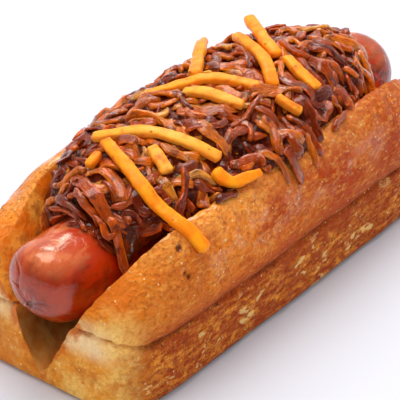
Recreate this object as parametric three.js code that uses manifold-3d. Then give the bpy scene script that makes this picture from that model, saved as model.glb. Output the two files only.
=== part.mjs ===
// A hot dog: a frankfurter in a top-split bun, under a heap of fried onions and strips of grated cheese.
// Millimetres, +Z up. X runs along the bun, Y across it, and the open slot of the bun faces up.
// The origin is on the table, under the middle of the bun.
import * as THREE from 'three';
import { mergeVertices } from 'three/addons/utils/BufferGeometryUtils.js';
import Module from 'manifold-3d';

// Driving dimensions
const BUN_LENGTH = 144;
const BUN_WIDTH = 63; // over the two lobes
const BUN_HEIGHT = 44;
const BASE_WIDTH = 60.6; // the lower, flat-sided half of the loaf
const SEAM_Z = 18; // the groove along each side, where the two halves of the loaf meet
const SEAM_WIDTH = 57.4;
const SEAM_END_DEPTH = 4.6; // the same seam is a deep crease across each end
const SEAM_END_RISE = 3.2; // how much higher the seam lies beside the slot than along the sides
const LOBE_SAG = 5; // how far the tops of the two lobes come down towards the ends
const LOBE_SAG_SKEW = 0.55; // share by which the +Y lobe sags more and the -Y lobe less
const LOBE_SAG_END = 0.2; // share by which the lobes sag more at the -X end and less at the +X end
const SLOT_FLOOR_Z = 3.7; // the slot is a V cut in the top of the bun, from end to end
const SLOT_FLOOR_WIDTH = 1.4;
const SLOT_HALF_ANGLE = THREE.MathUtils.degToRad(29);
const SAUSAGE_DIAMETER = 24.2;
const SAUSAGE_LENGTH = 153;
const SAUSAGE_AXIS_Z = 30.2;
const SAUSAGE_TILT = 1; // how much higher than the middle its +X end lies, and lower its -X end
const HEAP_FRONT_X = -56;
const HEAP_BACK_X = 60;
const HEAP_TOP_Z = 55;
const HEAP_WIDTH = 50;
const STRAND_WIDTH = 3.4;
const STRAND_THICKNESS = 2.8;
const SHRED_WIDTH = 3.7;
const SHRED_THICKNESS = 2.4;
const GAP = 0.3; // left between pieces that touch

const AROUND_BUN = 64;
const AROUND_SAUSAGE = 28;
const AROUND_HEAP = 20;

const wasm = await Module();
wasm.setup();

// Repeatable random numbers between low and high.
function randomFrom(seed) {
  let state = seed;
  return (low, high) => {
    state = (state + 0x6d2b79f5) | 0;
    let mixed = Math.imul(state ^ (state >>> 15), 1 | state);
    mixed = (mixed + Math.imul(mixed ^ (mixed >>> 7), 61 | mixed)) ^ mixed;
    const share = ((mixed ^ (mixed >>> 14)) >>> 0) / 4294967296;
    return low + (high - low) * share;
  };
}

// Soft lumps: a few crossing waves, between about -1 and 1.
function lumps(x, y, z, wavelength) {
  const k = (2 * Math.PI) / wavelength;
  const first = Math.sin(k * (x + 0.6 * y) + 1.3) * Math.cos(k * (0.8 * y - 0.5 * z) + 0.4);
  const second = Math.sin(k * (0.55 * x - 0.9 * y + 0.7 * z) + 2.1);
  const third = Math.cos(k * (0.37 * x + 0.5 * z) - 0.8);
  return 0.45 * first + 0.3 * second + 0.25 * third;
}

// A closed skin over a row of rings with equal point counts, drawn together to a point at each end.
function loft(rings, firstPole, lastPole) {
  const count = rings[0].length;
  const points = rings.flat();
  const indices = [];
  for (let row = 0; row < rings.length - 1; row += 1) {
    for (let i = 0; i < count; i += 1) {
      const a = row * count + i;
      const b = row * count + ((i + 1) % count);
      indices.push(a, b, b + count, a, b + count, a + count);
    }
  }
  const first = points.length;
  const last = first + 1;
  const lastRow = (rings.length - 1) * count;
  for (let i = 0; i < count; i += 1) {
    const next = (i + 1) % count;
    indices.push(first, next, i);
    indices.push(last, lastRow + i, lastRow + next);
  }
  const geometry = new THREE.BufferGeometry().setFromPoints([...points, firstPole, lastPole]);
  geometry.setIndex(indices);
  return geometry;
}

function centreOf(ring) {
  const sum = ring.reduce((total, point) => total.add(point), new THREE.Vector3());
  return sum.divideScalar(ring.length);
}

function loftSolid(rings, firstPole = centreOf(rings[0]), lastPole = centreOf(rings.at(-1))) {
  const merged = mergeVertices(loft(rings, firstPole, lastPole), 1e-5);
  const mesh = new wasm.Mesh({
    numProp: 3,
    vertProperties: new Float32Array(merged.attributes.position.array),
    triVerts: new Uint32Array(merged.index.array),
  });
  return new wasm.Manifold(mesh);
}

// The largest body of a solid, without the scraps that a cut may leave.
function largestBody(solid) {
  const bodies = solid.decompose();
  return bodies.reduce((best, body) => (body.volume() > best.volume() ? body : best));
}

function geometryFrom(solid) {
  const mesh = solid.getMesh();
  const geometry = new THREE.BufferGeometry();
  geometry.setAttribute('position', new THREE.BufferAttribute(mesh.vertProperties, 3));
  geometry.setIndex(new THREE.BufferAttribute(mesh.triVerts, 1));
  geometry.computeVertexNormals();
  return geometry;
}

// ---- Bun -------------------------------------------------------------------------------------------

const CRUST_LUMP = 0.45;
const CRUST_WAVELENGTH = 31;
const SLOT_WAVELENGTH = 24;
const SLOT_STEP = 0.9; // how far the lobes overhang the walls of the slot below the seam
const SLOT_STEP_FROM_Z = 12;

// Points spaced evenly round a superellipse |x/a|^power + |y/b|^power = 1.
function evenOutline(a, b, power, count) {
  const fine = 720;
  const dense = [];
  const lengths = [0];
  for (let i = 0; i <= fine; i += 1) {
    const c = Math.cos((2 * Math.PI * i) / fine);
    const s = Math.sin((2 * Math.PI * i) / fine);
    const x = a * Math.sign(c) * Math.abs(c) ** (2 / power);
    const y = b * Math.sign(s) * Math.abs(s) ** (2 / power);
    dense.push(new THREE.Vector2(x, y));
    if (i > 0) lengths.push(lengths[i - 1] + dense[i].distanceTo(dense[i - 1]));
  }
  const outline = [];
  let at = 0;
  for (let i = 0; i < count; i += 1) {
    const wanted = (lengths[fine] * i) / count;
    while (lengths[at + 1] < wanted) at += 1;
    const part = (wanted - lengths[at]) / (lengths[at + 1] - lengths[at]);
    outline.push(dense[at].clone().lerp(dense[at + 1], part));
  }
  return outline;
}

// Level outlines of the loaf from the table up, over the two lobes and down into where the slot is cut.
// a, b: half the length and width; power: how square; rise: how much higher the ends of the outline are.
function loafLevels() {
  const half = BUN_LENGTH / 2;
  const base = BASE_WIDTH / 2;
  const seam = SEAM_WIDTH / 2;
  const lobe = BUN_WIDTH / 2;
  const top = BUN_HEIGHT;
  const rise = SEAM_END_RISE;
  return [
    { z: 0, a: half - 2, b: base - 2.6, power: 8, rise: 0 },
    { z: 1.1, a: half - 0.5, b: base - 0.8, power: 8, rise: 0 },
    { z: 3.6, a: half, b: base - 0.1, power: 8, rise: 0 },
    { z: 8.5, a: half, b: base, power: 8, rise: 0 },
    { z: 12.5, a: half - 0.3, b: base - 0.2, power: 8, rise: 0.3 * rise },
    { z: SEAM_Z - 2.4, a: half - 1, b: base - 0.6, power: 8.5, rise: 0.8 * rise },
    { z: SEAM_Z - 0.9, a: half - 2.4, b: seam + 0.6, power: 9, rise: 0.95 * rise },
    { z: SEAM_Z, a: half - SEAM_END_DEPTH, b: seam, power: 9, rise },
    { z: SEAM_Z + 0.6, a: half - SEAM_END_DEPTH + 0.3, b: seam + 0.2, power: 9, rise },
    { z: SEAM_Z + 1.4, a: half - 2.5, b: lobe - 1.9, power: 8, rise: 0.95 * rise },
    { z: 22.4, a: half - 1.1, b: lobe - 0.8, power: 6.5, rise: 0.65 * rise },
    { z: 27, a: half - 0.8, b: lobe, power: 5.5, rise: 0.2 * rise },
    { z: 32, a: half - 2.4, b: lobe, power: 4.8, rise: -0.1 * LOBE_SAG },
    { z: 36.6, a: half - 5.2, b: lobe - 0.9, power: 4.4, rise: -0.35 * LOBE_SAG },
    { z: 40.4, a: half - 8.2, b: lobe - 2.7, power: 4.2, rise: -0.8 * LOBE_SAG },
    { z: top - 1.2, a: half - 10.5, b: lobe - 4.8, power: 4.2, rise: -LOBE_SAG },
    { z: top, a: half - 12.5, b: lobe - 7.2, power: 4.2, rise: -LOBE_SAG },
    { z: top - 0.6, a: half - 14, b: lobe - 9.8, power: 4.2, rise: -LOBE_SAG },
    { z: top - 3.6, a: half - 15.5, b: lobe - 13.5, power: 4.2, rise: -LOBE_SAG },
    { z: top - 9, a: half - 20, b: lobe - 19, power: 4.2, rise: -LOBE_SAG },
  ];
}

// How far an outline is lifted at a place: the seam climbs towards the slot, and the +Y lobe sags more.
function levelLift(level, x, y) {
  const along = Math.abs(x) / level.a;
  const across = y / level.b;
  const climb = 1 - 0.75 * across ** 2;
  const sag = (1 + LOBE_SAG_SKEW * across) * (1 - LOBE_SAG_END * Math.sign(x));
  return level.rise * (level.rise > 0 ? climb : sag) * along ** 5;
}

// The whole loaf without its slot, its surface moved out by grow.
function loafSolid(grow) {
  const rings = loafLevels().map((level, row) => {
    const onTable = row === 0;
    return evenOutline(level.a + grow, level.b + grow, level.power, AROUND_BUN).map(({ x, y }) => {
      const lump = onTable ? 0 : CRUST_LUMP * lumps(x, y, level.z, CRUST_WAVELENGTH);
      const outward = new THREE.Vector2(x / level.a ** 1.6, y / level.b ** 1.6).normalize();
      const z = onTable ? -grow : level.z + levelLift(level, x, y) + 0.5 * lump + grow;
      return new THREE.Vector3(x + lump * outward.x, y + lump * outward.y, z);
    });
  });
  return loftSolid(rings);
}

// Half the width of the slot at a height: straight walls that step out a little above the seam.
function slotHalfWidth(z) {
  const straight = SLOT_FLOOR_WIDTH / 2 + (z - SLOT_FLOOR_Z) * Math.tan(SLOT_HALF_ANGLE);
  const stepZ = SEAM_Z + SEAM_END_RISE;
  const below = Math.max(0, (z - SLOT_STEP_FROM_Z) / (stepZ - SLOT_STEP_FROM_Z));
  return z < stepZ ? straight - SLOT_STEP * below : straight;
}

// The V cut, with slightly wavy walls, made narrower by shrink on each side.
function slotSolid(shrink) {
  const rows = 21;
  const reach = BUN_LENGTH / 2 + 8;
  const stepZ = SEAM_Z + SEAM_END_RISE;
  const heights = [SLOT_FLOOR_Z, SLOT_STEP_FROM_Z, stepZ - 0.3, stepZ + 0.5, BUN_HEIGHT + 12];
  const narrow = shrink / Math.cos(SLOT_HALF_ANGLE);
  const rings = [];
  for (let row = 0; row < rows; row += 1) {
    const x = THREE.MathUtils.lerp(-reach, reach, row / (rows - 1));
    const wall = (side) => heights.map((z) => {
      const wave = 0.008 * (z - SLOT_FLOOR_Z) * lumps(x, 9 * side, 0, SLOT_WAVELENGTH);
      const half = Math.max(slotHalfWidth(z) + wave - narrow, 0.2);
      return new THREE.Vector3(x, side * half, z + (z === SLOT_FLOOR_Z ? shrink : 0));
    });
    rings.push([...wall(1), ...wall(-1).reverse()]);
  }
  return loftSolid(rings);
}

function bunSolid(grow) {
  return loafSolid(grow).subtract(slotSolid(grow));
}

// ---- Sausage ---------------------------------------------------------------------------------------

const TIP_LENGTH = 13.5; // the rounded length at each end
const TIP_POWER = 2.35; // above 2: blunter than a ball
const TIP_RISE = 3; // the knot of the casing at the -X end sits above the axis
const TIP_FOLDS = 7; // pleats of the casing round the knot

function sausageAxisZ(x) {
  return SAUSAGE_AXIS_Z + (SAUSAGE_TILT * x) / (SAUSAGE_LENGTH / 2);
}

function sausageRing(x, grow) {
  const fromTip = SAUSAGE_LENGTH / 2 - Math.abs(x);
  const left = Math.max(1 - fromTip / TIP_LENGTH, 0);
  const radius = (SAUSAGE_DIAMETER / 2) * (1 - left ** TIP_POWER) ** (1 / TIP_POWER);
  const knot = x < 0 ? TIP_RISE * (1 - THREE.MathUtils.smoothstep(fromTip, 0, TIP_LENGTH)) : 0;
  const pleat = 0.05 * radius * (1 - THREE.MathUtils.smoothstep(fromTip, 0.5, 5));
  const ring = [];
  for (let i = 0; i < AROUND_SAUSAGE; i += 1) {
    const angle = (2 * Math.PI * i) / AROUND_SAUSAGE;
    const y = Math.cos(angle);
    const z = Math.sin(angle);
    const swell = 0.12 * (lumps(x, radius * y, radius * z, 40) - 1);
    const r = grow > 0 ? radius + pleat + grow : radius + swell + pleat * Math.cos(TIP_FOLDS * angle);
    ring.push(new THREE.Vector3(x, r * y, sausageAxisZ(x) + knot + r * z));
  }
  return ring;
}

// The skin is moved out by grow to cut what rests on the sausage.
function sausageSolid(grow) {
  const half = SAUSAGE_LENGTH / 2;
  const steps = [0.25, 0.8, 1.7, 3, 4.8, 7, 9.8, TIP_LENGTH, 32, 54];
  const front = steps.map((step) => sausageRing(step - half, grow));
  const back = steps.map((step) => sausageRing(half - step, grow)).reverse();
  const dimple = 0.4 - 2 * grow;
  const firstPole = new THREE.Vector3(dimple - half, 0, sausageAxisZ(-half) + TIP_RISE);
  const lastPole = new THREE.Vector3(half - dimple, 0, sausageAxisZ(half));
  return loftSolid([...front, sausageRing(0, grow), ...back], firstPole, lastPole);
}

// ---- Onion heap: its bare core ---------------------------------------------------------------------

const HEAP_FOOT_Z = 42.5; // where the heap lies on the tops of the lobes
const HEAP_END_FOOT_Z = 36; // at its ends it hugs the sides of the sausage
const HEAP_FLOOR_Z = 34; // how far down it fills the slot beside the sausage
const HEAP_FLOOR_WIDTH = 26;
const HEAP_END_WIDTH = 27; // its width where it ends on the sausage
const HEAP_LEAN = 0.8; // its ridge lies a little to the +Y side
const HEAP_SPILL = 5; // how much further it reaches over the -Y lobe near its middle
const HEAP_LUMP = 1.1;
const HEAP_WAVELENGTH = 15;
const HEAP_CROWN = 0.68; // above 0.5: rounder at the ridge and steeper lower down than an ellipse

// The heap at a place along X: half its width, where its foot and its top lie, and where its ridge runs.
function heapSection(x) {
  const fromEnd = Math.min(x - HEAP_FRONT_X, HEAP_BACK_X - x);
  const broad = Math.sqrt(THREE.MathUtils.smoothstep(fromEnd, 0, 42));
  const front = THREE.MathUtils.smoothstep(x - HEAP_FRONT_X, -10, 48);
  const back = THREE.MathUtils.smoothstep(HEAP_BACK_X - x, -10, 44);
  const full = Math.sqrt(front * back);
  const raised = THREE.MathUtils.smoothstep(fromEnd, 0, 12);
  return {
    half: THREE.MathUtils.lerp(HEAP_END_WIDTH, HEAP_WIDTH, broad) / 2,
    foot: THREE.MathUtils.lerp(HEAP_END_FOOT_Z, HEAP_FOOT_Z, raised),
    top: THREE.MathUtils.lerp(HEAP_FOOT_Z, HEAP_TOP_Z, full),
    lump: HEAP_LUMP * full,
    ridge: HEAP_LEAN * full,
    spill: HEAP_SPILL * Math.exp(-(((x - 2) / 13) ** 2)),
  };
}

function heapRing(x) {
  const { half, foot, top, lump, ridge, spill } = heapSection(x);
  const ring = [];
  const arcPoints = AROUND_HEAP - 4;
  for (let i = 0; i < arcPoints; i += 1) {
    const across = Math.cos((Math.PI * i) / (arcPoints - 1));
    const y = ridge + half * across - (across < 0 ? spill * across ** 4 : 0);
    const dome = (top - foot) * (1 - across ** 2) ** HEAP_CROWN;
    const z = foot + Math.max(dome + lump * lumps(x, y, 0, HEAP_WAVELENGTH), 0);
    ring.push(new THREE.Vector3(x, y, z));
  }
  const floor = Math.min(half, HEAP_FLOOR_WIDTH / 2);
  const floorZ = Math.min(HEAP_FLOOR_Z, foot - 3);
  ring.push(new THREE.Vector3(x, ridge - 0.96 * half, foot - 2.5));
  ring.push(new THREE.Vector3(x, -floor, floorZ));
  ring.push(new THREE.Vector3(x, floor, floorZ));
  ring.push(new THREE.Vector3(x, ridge + 0.96 * half, foot - 2.5));
  return ring;
}

function heapCore() {
  const rows = 21;
  const rings = [];
  for (let row = 0; row < rows; row += 1) {
    rings.push(heapRing(THREE.MathUtils.lerp(HEAP_FRONT_X, HEAP_BACK_X, (row + 0.1) / (rows - 0.8))));
  }
  return loftSolid(rings);
}

// ---- Strips: the shape that onion strands and cheese shreds share ----------------------------------

// A function that gives the height of the first of some pieces met when coming down at a place in plan.
function heightOver(solids) {
  const meshes = solids.map((solid) => new THREE.Mesh(geometryFrom(solid)));
  const down = new THREE.Vector3(0, 0, -1);
  const ray = new THREE.Raycaster();
  return (x, y) => {
    ray.set(new THREE.Vector3(x, y, 2 * HEAP_TOP_Z), down);
    const hits = ray.intersectObjects(meshes);
    return hits.length > 0 ? hits[0].point.z : 0;
  };
}

const SLOPE_REACH = 1.6; // how far to each side the slope under a strip is felt
const STEEPEST = 1.2;

// A line laid over a surface: points at a height over it, and the way up from it at each point.
function laidLine(places, heightAt, heightOverSurface) {
  const slope = (rise) => THREE.MathUtils.clamp(rise / (2 * SLOPE_REACH), -STEEPEST, STEEPEST);
  const points = [];
  const ups = [];
  places.forEach(({ x, y }, i) => {
    const slopeX = slope(heightAt(x + SLOPE_REACH, y) - heightAt(x - SLOPE_REACH, y));
    const slopeY = slope(heightAt(x, y + SLOPE_REACH) - heightAt(x, y - SLOPE_REACH));
    const up = new THREE.Vector3(-slopeX, -slopeY, 1).normalize();
    points.push(new THREE.Vector3(x, y, heightAt(x, y)).addScaledVector(up, heightOverSurface(i)));
    ups.push(up);
  });
  return { points, ups };
}

// Rounds off the bends of a line, but not its ends.
function smoothed(vectors) {
  return vectors.map((at, i) => {
    const isEnd = i === 0 || i === vectors.length - 1;
    return isEnd ? at : at.clone().multiplyScalar(2).add(vectors[i - 1]).add(vectors[i + 1]).divideScalar(4);
  });
}

// A strip along a laid line. square: 2 for an oval section, 4 for a rounded bar.
// Its two ends are narrowed to the share endSize.
function stripSolid({ points, ups }, { width, thickness, sides, steps, square, endSize }) {
  const curve = new THREE.CatmullRomCurve3(points);
  const upward = new THREE.CatmullRomCurve3(ups);
  const rings = [];
  for (let step = 0; step <= steps; step += 1) {
    const point = curve.getPoint(step / steps);
    const ahead = curve.getTangent(step / steps);
    const side = upward.getPoint(step / steps).cross(ahead).normalize();
    const over = new THREE.Vector3().crossVectors(ahead, side);
    const size = step === 0 || step === steps ? endSize : 1;
    const ring = [];
    for (let i = 0; i < sides; i += 1) {
      const c = Math.cos((2 * Math.PI * (i + 0.5)) / sides);
      const s = Math.sin((2 * Math.PI * (i + 0.5)) / sides);
      const across = 0.5 * width * size * Math.sign(c) * Math.abs(c) ** (2 / square);
      const rise = 0.5 * thickness * size * Math.sign(s) * Math.abs(s) ** (2 / square);
      ring.push(point.clone().addScaledVector(side, across).addScaledVector(over, rise));
    }
    rings.push(ring);
  }
  return loftSolid(rings);
}

// ---- Cheese shreds ---------------------------------------------------------------------------------

// Where each shred lies in plan: one end, the middle and the other end. lift: how far its first end
// stands clear of the heap. narrower: how much narrower it is than the others.
const SHREDS = [
  { places: [[-35.6, 7.4], [-43.8, -13.4], [-41.6, -29.9]] },
  { places: [[-33.3, 13.4], [-25.7, 0.6], [-19.6, -17.4]] },
  { places: [[-30.3, -3.3], [-32.1, -7.8], [-33.8, -11.6]] },
  { places: [[-10.3, 13.9], [3.6, 4.2], [9.6, -8.6]] },
  { places: [[-5.4, 5.4], [-2.4, -1.4], [-0.3, -10.7]] },
  { places: [[24.1, 19.9], [14.6, 15], [3.4, 8.1]], lift: 3 },
  { places: [[30.7, 14.9], [22.5, 0.8], [12.4, -10.4]], lift: 1.5 },
  { places: [[38, 14.9], [30.8, 5.6], [26.3, -1.6]], lift: 5 },
  { places: [[27.3, -4], [25.2, -9.6], [23.7, -17.2]] },
  { places: [[-23.9, -18.4], [-22, -23.2], [-12.4, -24.8]] },
  { places: [[10.6, -13], [10.7, -17.2], [12.2, -20.2]], narrower: 1.4 },
  { places: [[-38.6, 6.8], [-40.9, 6.4], [-43.6, 6.4]], narrower: 1.2 },
];

// The form of a shred, its skin moved out by grow to cut what it rests on.
function shredShape({ narrower }, grow = 0) {
  return {
    width: SHRED_WIDTH - narrower + 2 * grow,
    thickness: SHRED_THICKNESS + 2 * grow,
    sides: 8,
    steps: 6,
    square: 3.4,
    endSize: grow > 0 ? 1 : 0.8,
  };
}

// A shred laid on the bare heap and the bun. It bridges the hollows, and is raised little by little
// until it clears the bun.
function laidShred({ places, lift = 0, narrower = 0 }, heightAt, bun) {
  const plan = new THREE.CatmullRomCurve3(places.map(([x, y]) => new THREE.Vector3(x, y, 0)));
  const last = 8;
  const raised = (i) => 0.5 * SHRED_THICKNESS + 0.5 * GAP + lift * (1 - i / last) ** 2;
  const line = laidLine(plan.getSpacedPoints(last), heightAt, raised);
  const lying = line.points;
  line.points = smoothed(smoothed(lying));
  line.points.forEach((point, i) => point.setZ(Math.max(point.z, lying[i].z)));
  line.ups = smoothed(smoothed(line.ups));
  line.narrower = narrower;
  while (stripSolid(line, shredShape(line, GAP)).intersect(bun).volume() > 0) {
    line.points.forEach((point) => point.setZ(point.z + 0.1));
  }
  return line;
}

// ---- Onion strands: the pieces that show, fused on the core ----------------------------------------

const STRAND_COUNT = 50;
const STRAND_SPACING = 6.8; // least distance between the middles of two strands
const STRAND_HEADINGS = [-1.9, -0.6]; // mostly across the bun, leaning towards +X
const STRAND_LENGTHS = [13, 22];
const STRAND_BEND = 0.9;
const STRAND_OVERHANG = 1.2; // how far a strand may reach past the edge of the bare heap
const STRAND_SHAPE = {
  width: STRAND_WIDTH,
  thickness: STRAND_THICKNESS,
  sides: 5,
  steps: 4,
  square: 2,
  endSize: 0.55,
};

// Points along a curved strand in plan.
function strandPlan(centre, heading, length, bend) {
  const places = [];
  for (let i = 0; i <= STRAND_SHAPE.steps; i += 1) {
    const along = i / STRAND_SHAPE.steps - 0.5;
    const turned = heading + bend * along;
    const step = new THREE.Vector2(Math.cos(turned), Math.sin(turned)).multiplyScalar(length * along);
    places.push(centre.clone().add(step));
  }
  return places;
}

function overHeap({ x, y }, overhang) {
  const { half, ridge, spill } = heapSection(x);
  const reach = y < ridge ? half + spill : half;
  return x > HEAP_FRONT_X - 1 && x < HEAP_BACK_X + 1 && Math.abs(y - ridge) < reach + overhang;
}

function nearestInPlan(points, others) {
  const apart = (point, other) => Math.hypot(point.x - other.x, point.y - other.y);
  const distances = points.flatMap((point) => others.map((other) => apart(point, other)));
  return Math.min(Infinity, ...distances);
}

// Strands spread evenly over the heap, each lying half sunk with its ends dipping in.
// One that would cross a shred is shortened, then left out.
function laidStrands(shreds, heightAt) {
  const random = randomFrom(23);
  const clear = 0.5 * (STRAND_WIDTH + SHRED_WIDTH) + GAP;
  const shredPoints = shreds.flatMap(({ points }) => new THREE.CatmullRomCurve3(points).getPoints(16));
  const raised = (i) => (i === 0 || i === STRAND_SHAPE.steps ? -0.3 : 0.42) * STRAND_THICKNESS;
  const centres = [];
  const strands = [];
  for (let attempt = 0; attempt < 200 * STRAND_COUNT && strands.length < STRAND_COUNT; attempt += 1) {
    const centre = new THREE.Vector2(random(HEAP_FRONT_X, HEAP_BACK_X), random(-HEAP_WIDTH, HEAP_WIDTH) / 2);
    const heading = random(...STRAND_HEADINGS);
    const bend = random(-STRAND_BEND, STRAND_BEND);
    const longest = random(...STRAND_LENGTHS);
    const share = [1, 0.8, 0.6, 0.45].find((part) => {
      const plan = strandPlan(centre, heading, part * longest, bend);
      const inside = plan.every((place) => overHeap(place, STRAND_OVERHANG));
      return inside && nearestInPlan(plan, shredPoints) > clear;
    });
    if (share && overHeap(centre, -1) && nearestInPlan([centre], centres) > STRAND_SPACING) {
      centres.push(centre);
      strands.push(laidLine(strandPlan(centre, heading, share * longest, bend), heightAt, raised));
    }
  }
  return strands;
}

// ---- The whole hot dog -----------------------------------------------------------------------------

const hotDog = new THREE.Group();

function addPiece(name, solid, color, roughness) {
  const material = new THREE.MeshStandardMaterial({ color, roughness, metalness: 0 });
  const mesh = new THREE.Mesh(geometryFrom(solid), material);
  mesh.name = name;
  hotDog.add(mesh);
}

const bun = bunSolid(0);
const sausage = sausageSolid(0);
const core = heapCore();
const shreds = SHREDS.map((shred) => laidShred(shred, heightOver([bun, core]), bun));

let onions = core;
for (const strand of laidStrands(shreds, heightOver([bun, sausage, core]))) {
  onions = onions.add(stripSolid(strand, STRAND_SHAPE));
}
for (const shred of shreds) {
  onions = onions.subtract(stripSolid(shred, shredShape(shred, GAP)));
}
onions = onions.subtract(bunSolid(GAP)).subtract(sausageSolid(GAP));

addPiece('bun', bun, 0xc87a34, 0.55);
addPiece('sausage', sausage, 0xa8432c, 0.3);
addPiece('onions', largestBody(onions.simplify(0.05)), 0x7a3a18, 0.35);
shreds.forEach((shred, i) => {
  const number = String(i + 1).padStart(2, '0');
  addPiece(`cheese_${number}`, stripSolid(shred, shredShape(shred)), 0xf6a61e, 0.5);
});

export default hotDog;
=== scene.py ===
"""A hot dog: a frankfurter in a top-split bun, under a long heap of fried onions and strips of cheese.

Metres, +Z up: X runs along the bun, Y across it, and the sausage's pleated tip is at -X.
The shapes of the food are written in millimetres and turned into metres where a mesh is made. The studio
and the sizes of the marks in a material are in metres.
"""

import math

import bmesh
import bpy
import numpy as np
from mathutils import Matrix, Vector
from mathutils.bvhtree import BVHTree


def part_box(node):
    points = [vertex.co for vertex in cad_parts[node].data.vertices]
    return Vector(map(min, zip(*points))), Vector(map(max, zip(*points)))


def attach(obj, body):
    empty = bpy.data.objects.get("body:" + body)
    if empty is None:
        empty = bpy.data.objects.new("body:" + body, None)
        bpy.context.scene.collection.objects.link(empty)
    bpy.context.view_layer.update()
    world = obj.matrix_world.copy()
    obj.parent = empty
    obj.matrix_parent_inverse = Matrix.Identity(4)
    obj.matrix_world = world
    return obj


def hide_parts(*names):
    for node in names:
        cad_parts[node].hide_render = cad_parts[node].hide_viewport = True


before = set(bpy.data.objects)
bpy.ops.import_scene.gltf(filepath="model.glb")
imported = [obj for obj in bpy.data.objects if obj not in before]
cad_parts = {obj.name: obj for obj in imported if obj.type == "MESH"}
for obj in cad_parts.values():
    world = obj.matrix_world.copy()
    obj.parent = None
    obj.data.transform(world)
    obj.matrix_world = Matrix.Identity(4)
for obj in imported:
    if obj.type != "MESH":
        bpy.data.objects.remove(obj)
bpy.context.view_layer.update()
scene = bpy.context.scene
MM = 0.001

# ---- Camera ------------------------------------------------------------------------------------------
# A long lens, close enough to cut off the two outer corners of the bun. It stands in front of the -X end
# and the -Y side and looks down along the bun.

CAMERA_PLACE = (-455.2, -354.7, 392.9)  # in millimetres
CAMERA_HEADING = math.radians(51.74)  # turned from +Y towards +X
CAMERA_DROP = math.radians(32.83)
CAMERA_ROLL = math.radians(-0.17)
LENS = 225
SENSOR = 36

level_right = Vector((math.cos(CAMERA_HEADING), -math.sin(CAMERA_HEADING), 0))
ahead = Vector(
    (
        math.sin(CAMERA_HEADING) * math.cos(CAMERA_DROP),
        math.cos(CAMERA_HEADING) * math.cos(CAMERA_DROP),
        -math.sin(CAMERA_DROP),
    )
)
level_up = level_right.cross(ahead)
right = math.cos(CAMERA_ROLL) * level_right + math.sin(CAMERA_ROLL) * level_up
up = math.cos(CAMERA_ROLL) * level_up - math.sin(CAMERA_ROLL) * level_right
camera = bpy.data.objects.new("camera", bpy.data.cameras.new("camera"))
camera.data.sensor_width = SENSOR
camera.data.lens = LENS
camera.data.clip_start = 0.05
camera.data.clip_end = 20
camera.matrix_world = Matrix.Translation(Vector(CAMERA_PLACE) * MM) @ Matrix(
    (right, up, -ahead)
).transposed().to_4x4()
scene.collection.objects.link(camera)
scene.camera = camera

# ---- Studio ------------------------------------------------------------------------------------------
# A white table in a tent of white card. One large soft lamp hangs overhead, a little behind, and a small
# one stands beyond the far end. The side where the camera looks in is open and dark.

scene.view_settings.view_transform = "Standard"
scene.view_settings.look = "None"


def tone(red, green, blue):
    """A colour given as it looks on a screen, 0 to 255, as the linear colour that a shader takes."""
    linear = []
    for value in (red, green, blue):
        share = value / 255
        linear.append(share / 12.92 if share <= 0.04045 else ((share + 0.055) / 1.055) ** 2.4)
    return (*linear, 1.0)


def put(tree, kind, inputs=(), **properties):
    """Adds a node. An input that is given as another node's output is linked, any other is set."""
    made = tree.nodes.new("ShaderNode" + kind)
    for name, value in properties.items():
        setattr(made, name, value)
    for key, value in inputs.items() if isinstance(inputs, dict) else enumerate(inputs):
        if isinstance(value, bpy.types.NodeSocket):
            tree.links.new(value, made.inputs[key])
        else:
            made.inputs[key].default_value = value
    return made


def finish_with(name, shader_inputs):
    """A new material with one Principled shader. shader_inputs works out its inputs for a node tree."""
    material = bpy.data.materials.new(name)
    material.use_nodes = True
    tree = material.node_tree
    tree.nodes.clear()
    shader = put(tree, "BsdfPrincipled", shader_inputs(tree))
    output = put(tree, "OutputMaterial")
    tree.links.new(shader.outputs[0], output.inputs[0])
    return material


TABLE_WHITE = tone(214, 217, 225)
TABLE_REACH = 6.0
# The soft lamps: place, length, width and power.
LAMPS = {
    "softbox": ((0.08, 0.16, 1.2), 1.0, 0.7, 10.2),
    "window": ((0.62, 0.44, 0.74), 0.36, 0.24, 2.2),
}
LAMP_COLOUR = (1.0, 0.985, 0.965)
CARD_COLOUR = (1.0, 0.99, 1.0, 1.0)
CARD_LIGHT = 0.8
CARD_REFLECTED = 0.6  # how bright the card looks in what is wet or glossy
OPEN_WAY = (-0.66, -0.52, 0.54)
OPEN_REFLECTED = 0.04


def table_look(tree):
    """Matt and nearly white."""
    return {"Base Color": TABLE_WHITE, "Roughness": 0.6, "Specular IOR Level": 0.2}


table = bpy.data.objects.new("table_top", bpy.data.meshes.new("table_top"))
corners = [(TABLE_REACH * x, TABLE_REACH * y, 0) for x, y in ((-1, -1), (1, -1), (1, 1), (-1, 1))]
table.data.from_pydata(corners, [], [(0, 1, 2, 3)])
table.data.materials.append(finish_with("table_white", table_look))
scene.collection.objects.link(table)

for name, (place, length, width, power) in LAMPS.items():
    lamp = bpy.data.objects.new(name, bpy.data.lights.new(name, "AREA"))
    lamp.data.shape = "RECTANGLE"
    lamp.data.size = length
    lamp.data.size_y = width
    lamp.data.energy = power
    lamp.data.color = LAMP_COLOUR
    aim = (-Vector(place)).to_track_quat("-Z", "Y")
    lamp.matrix_world = Matrix.Translation(place) @ aim.to_matrix().to_4x4()
    scene.collection.objects.link(lamp)

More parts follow.
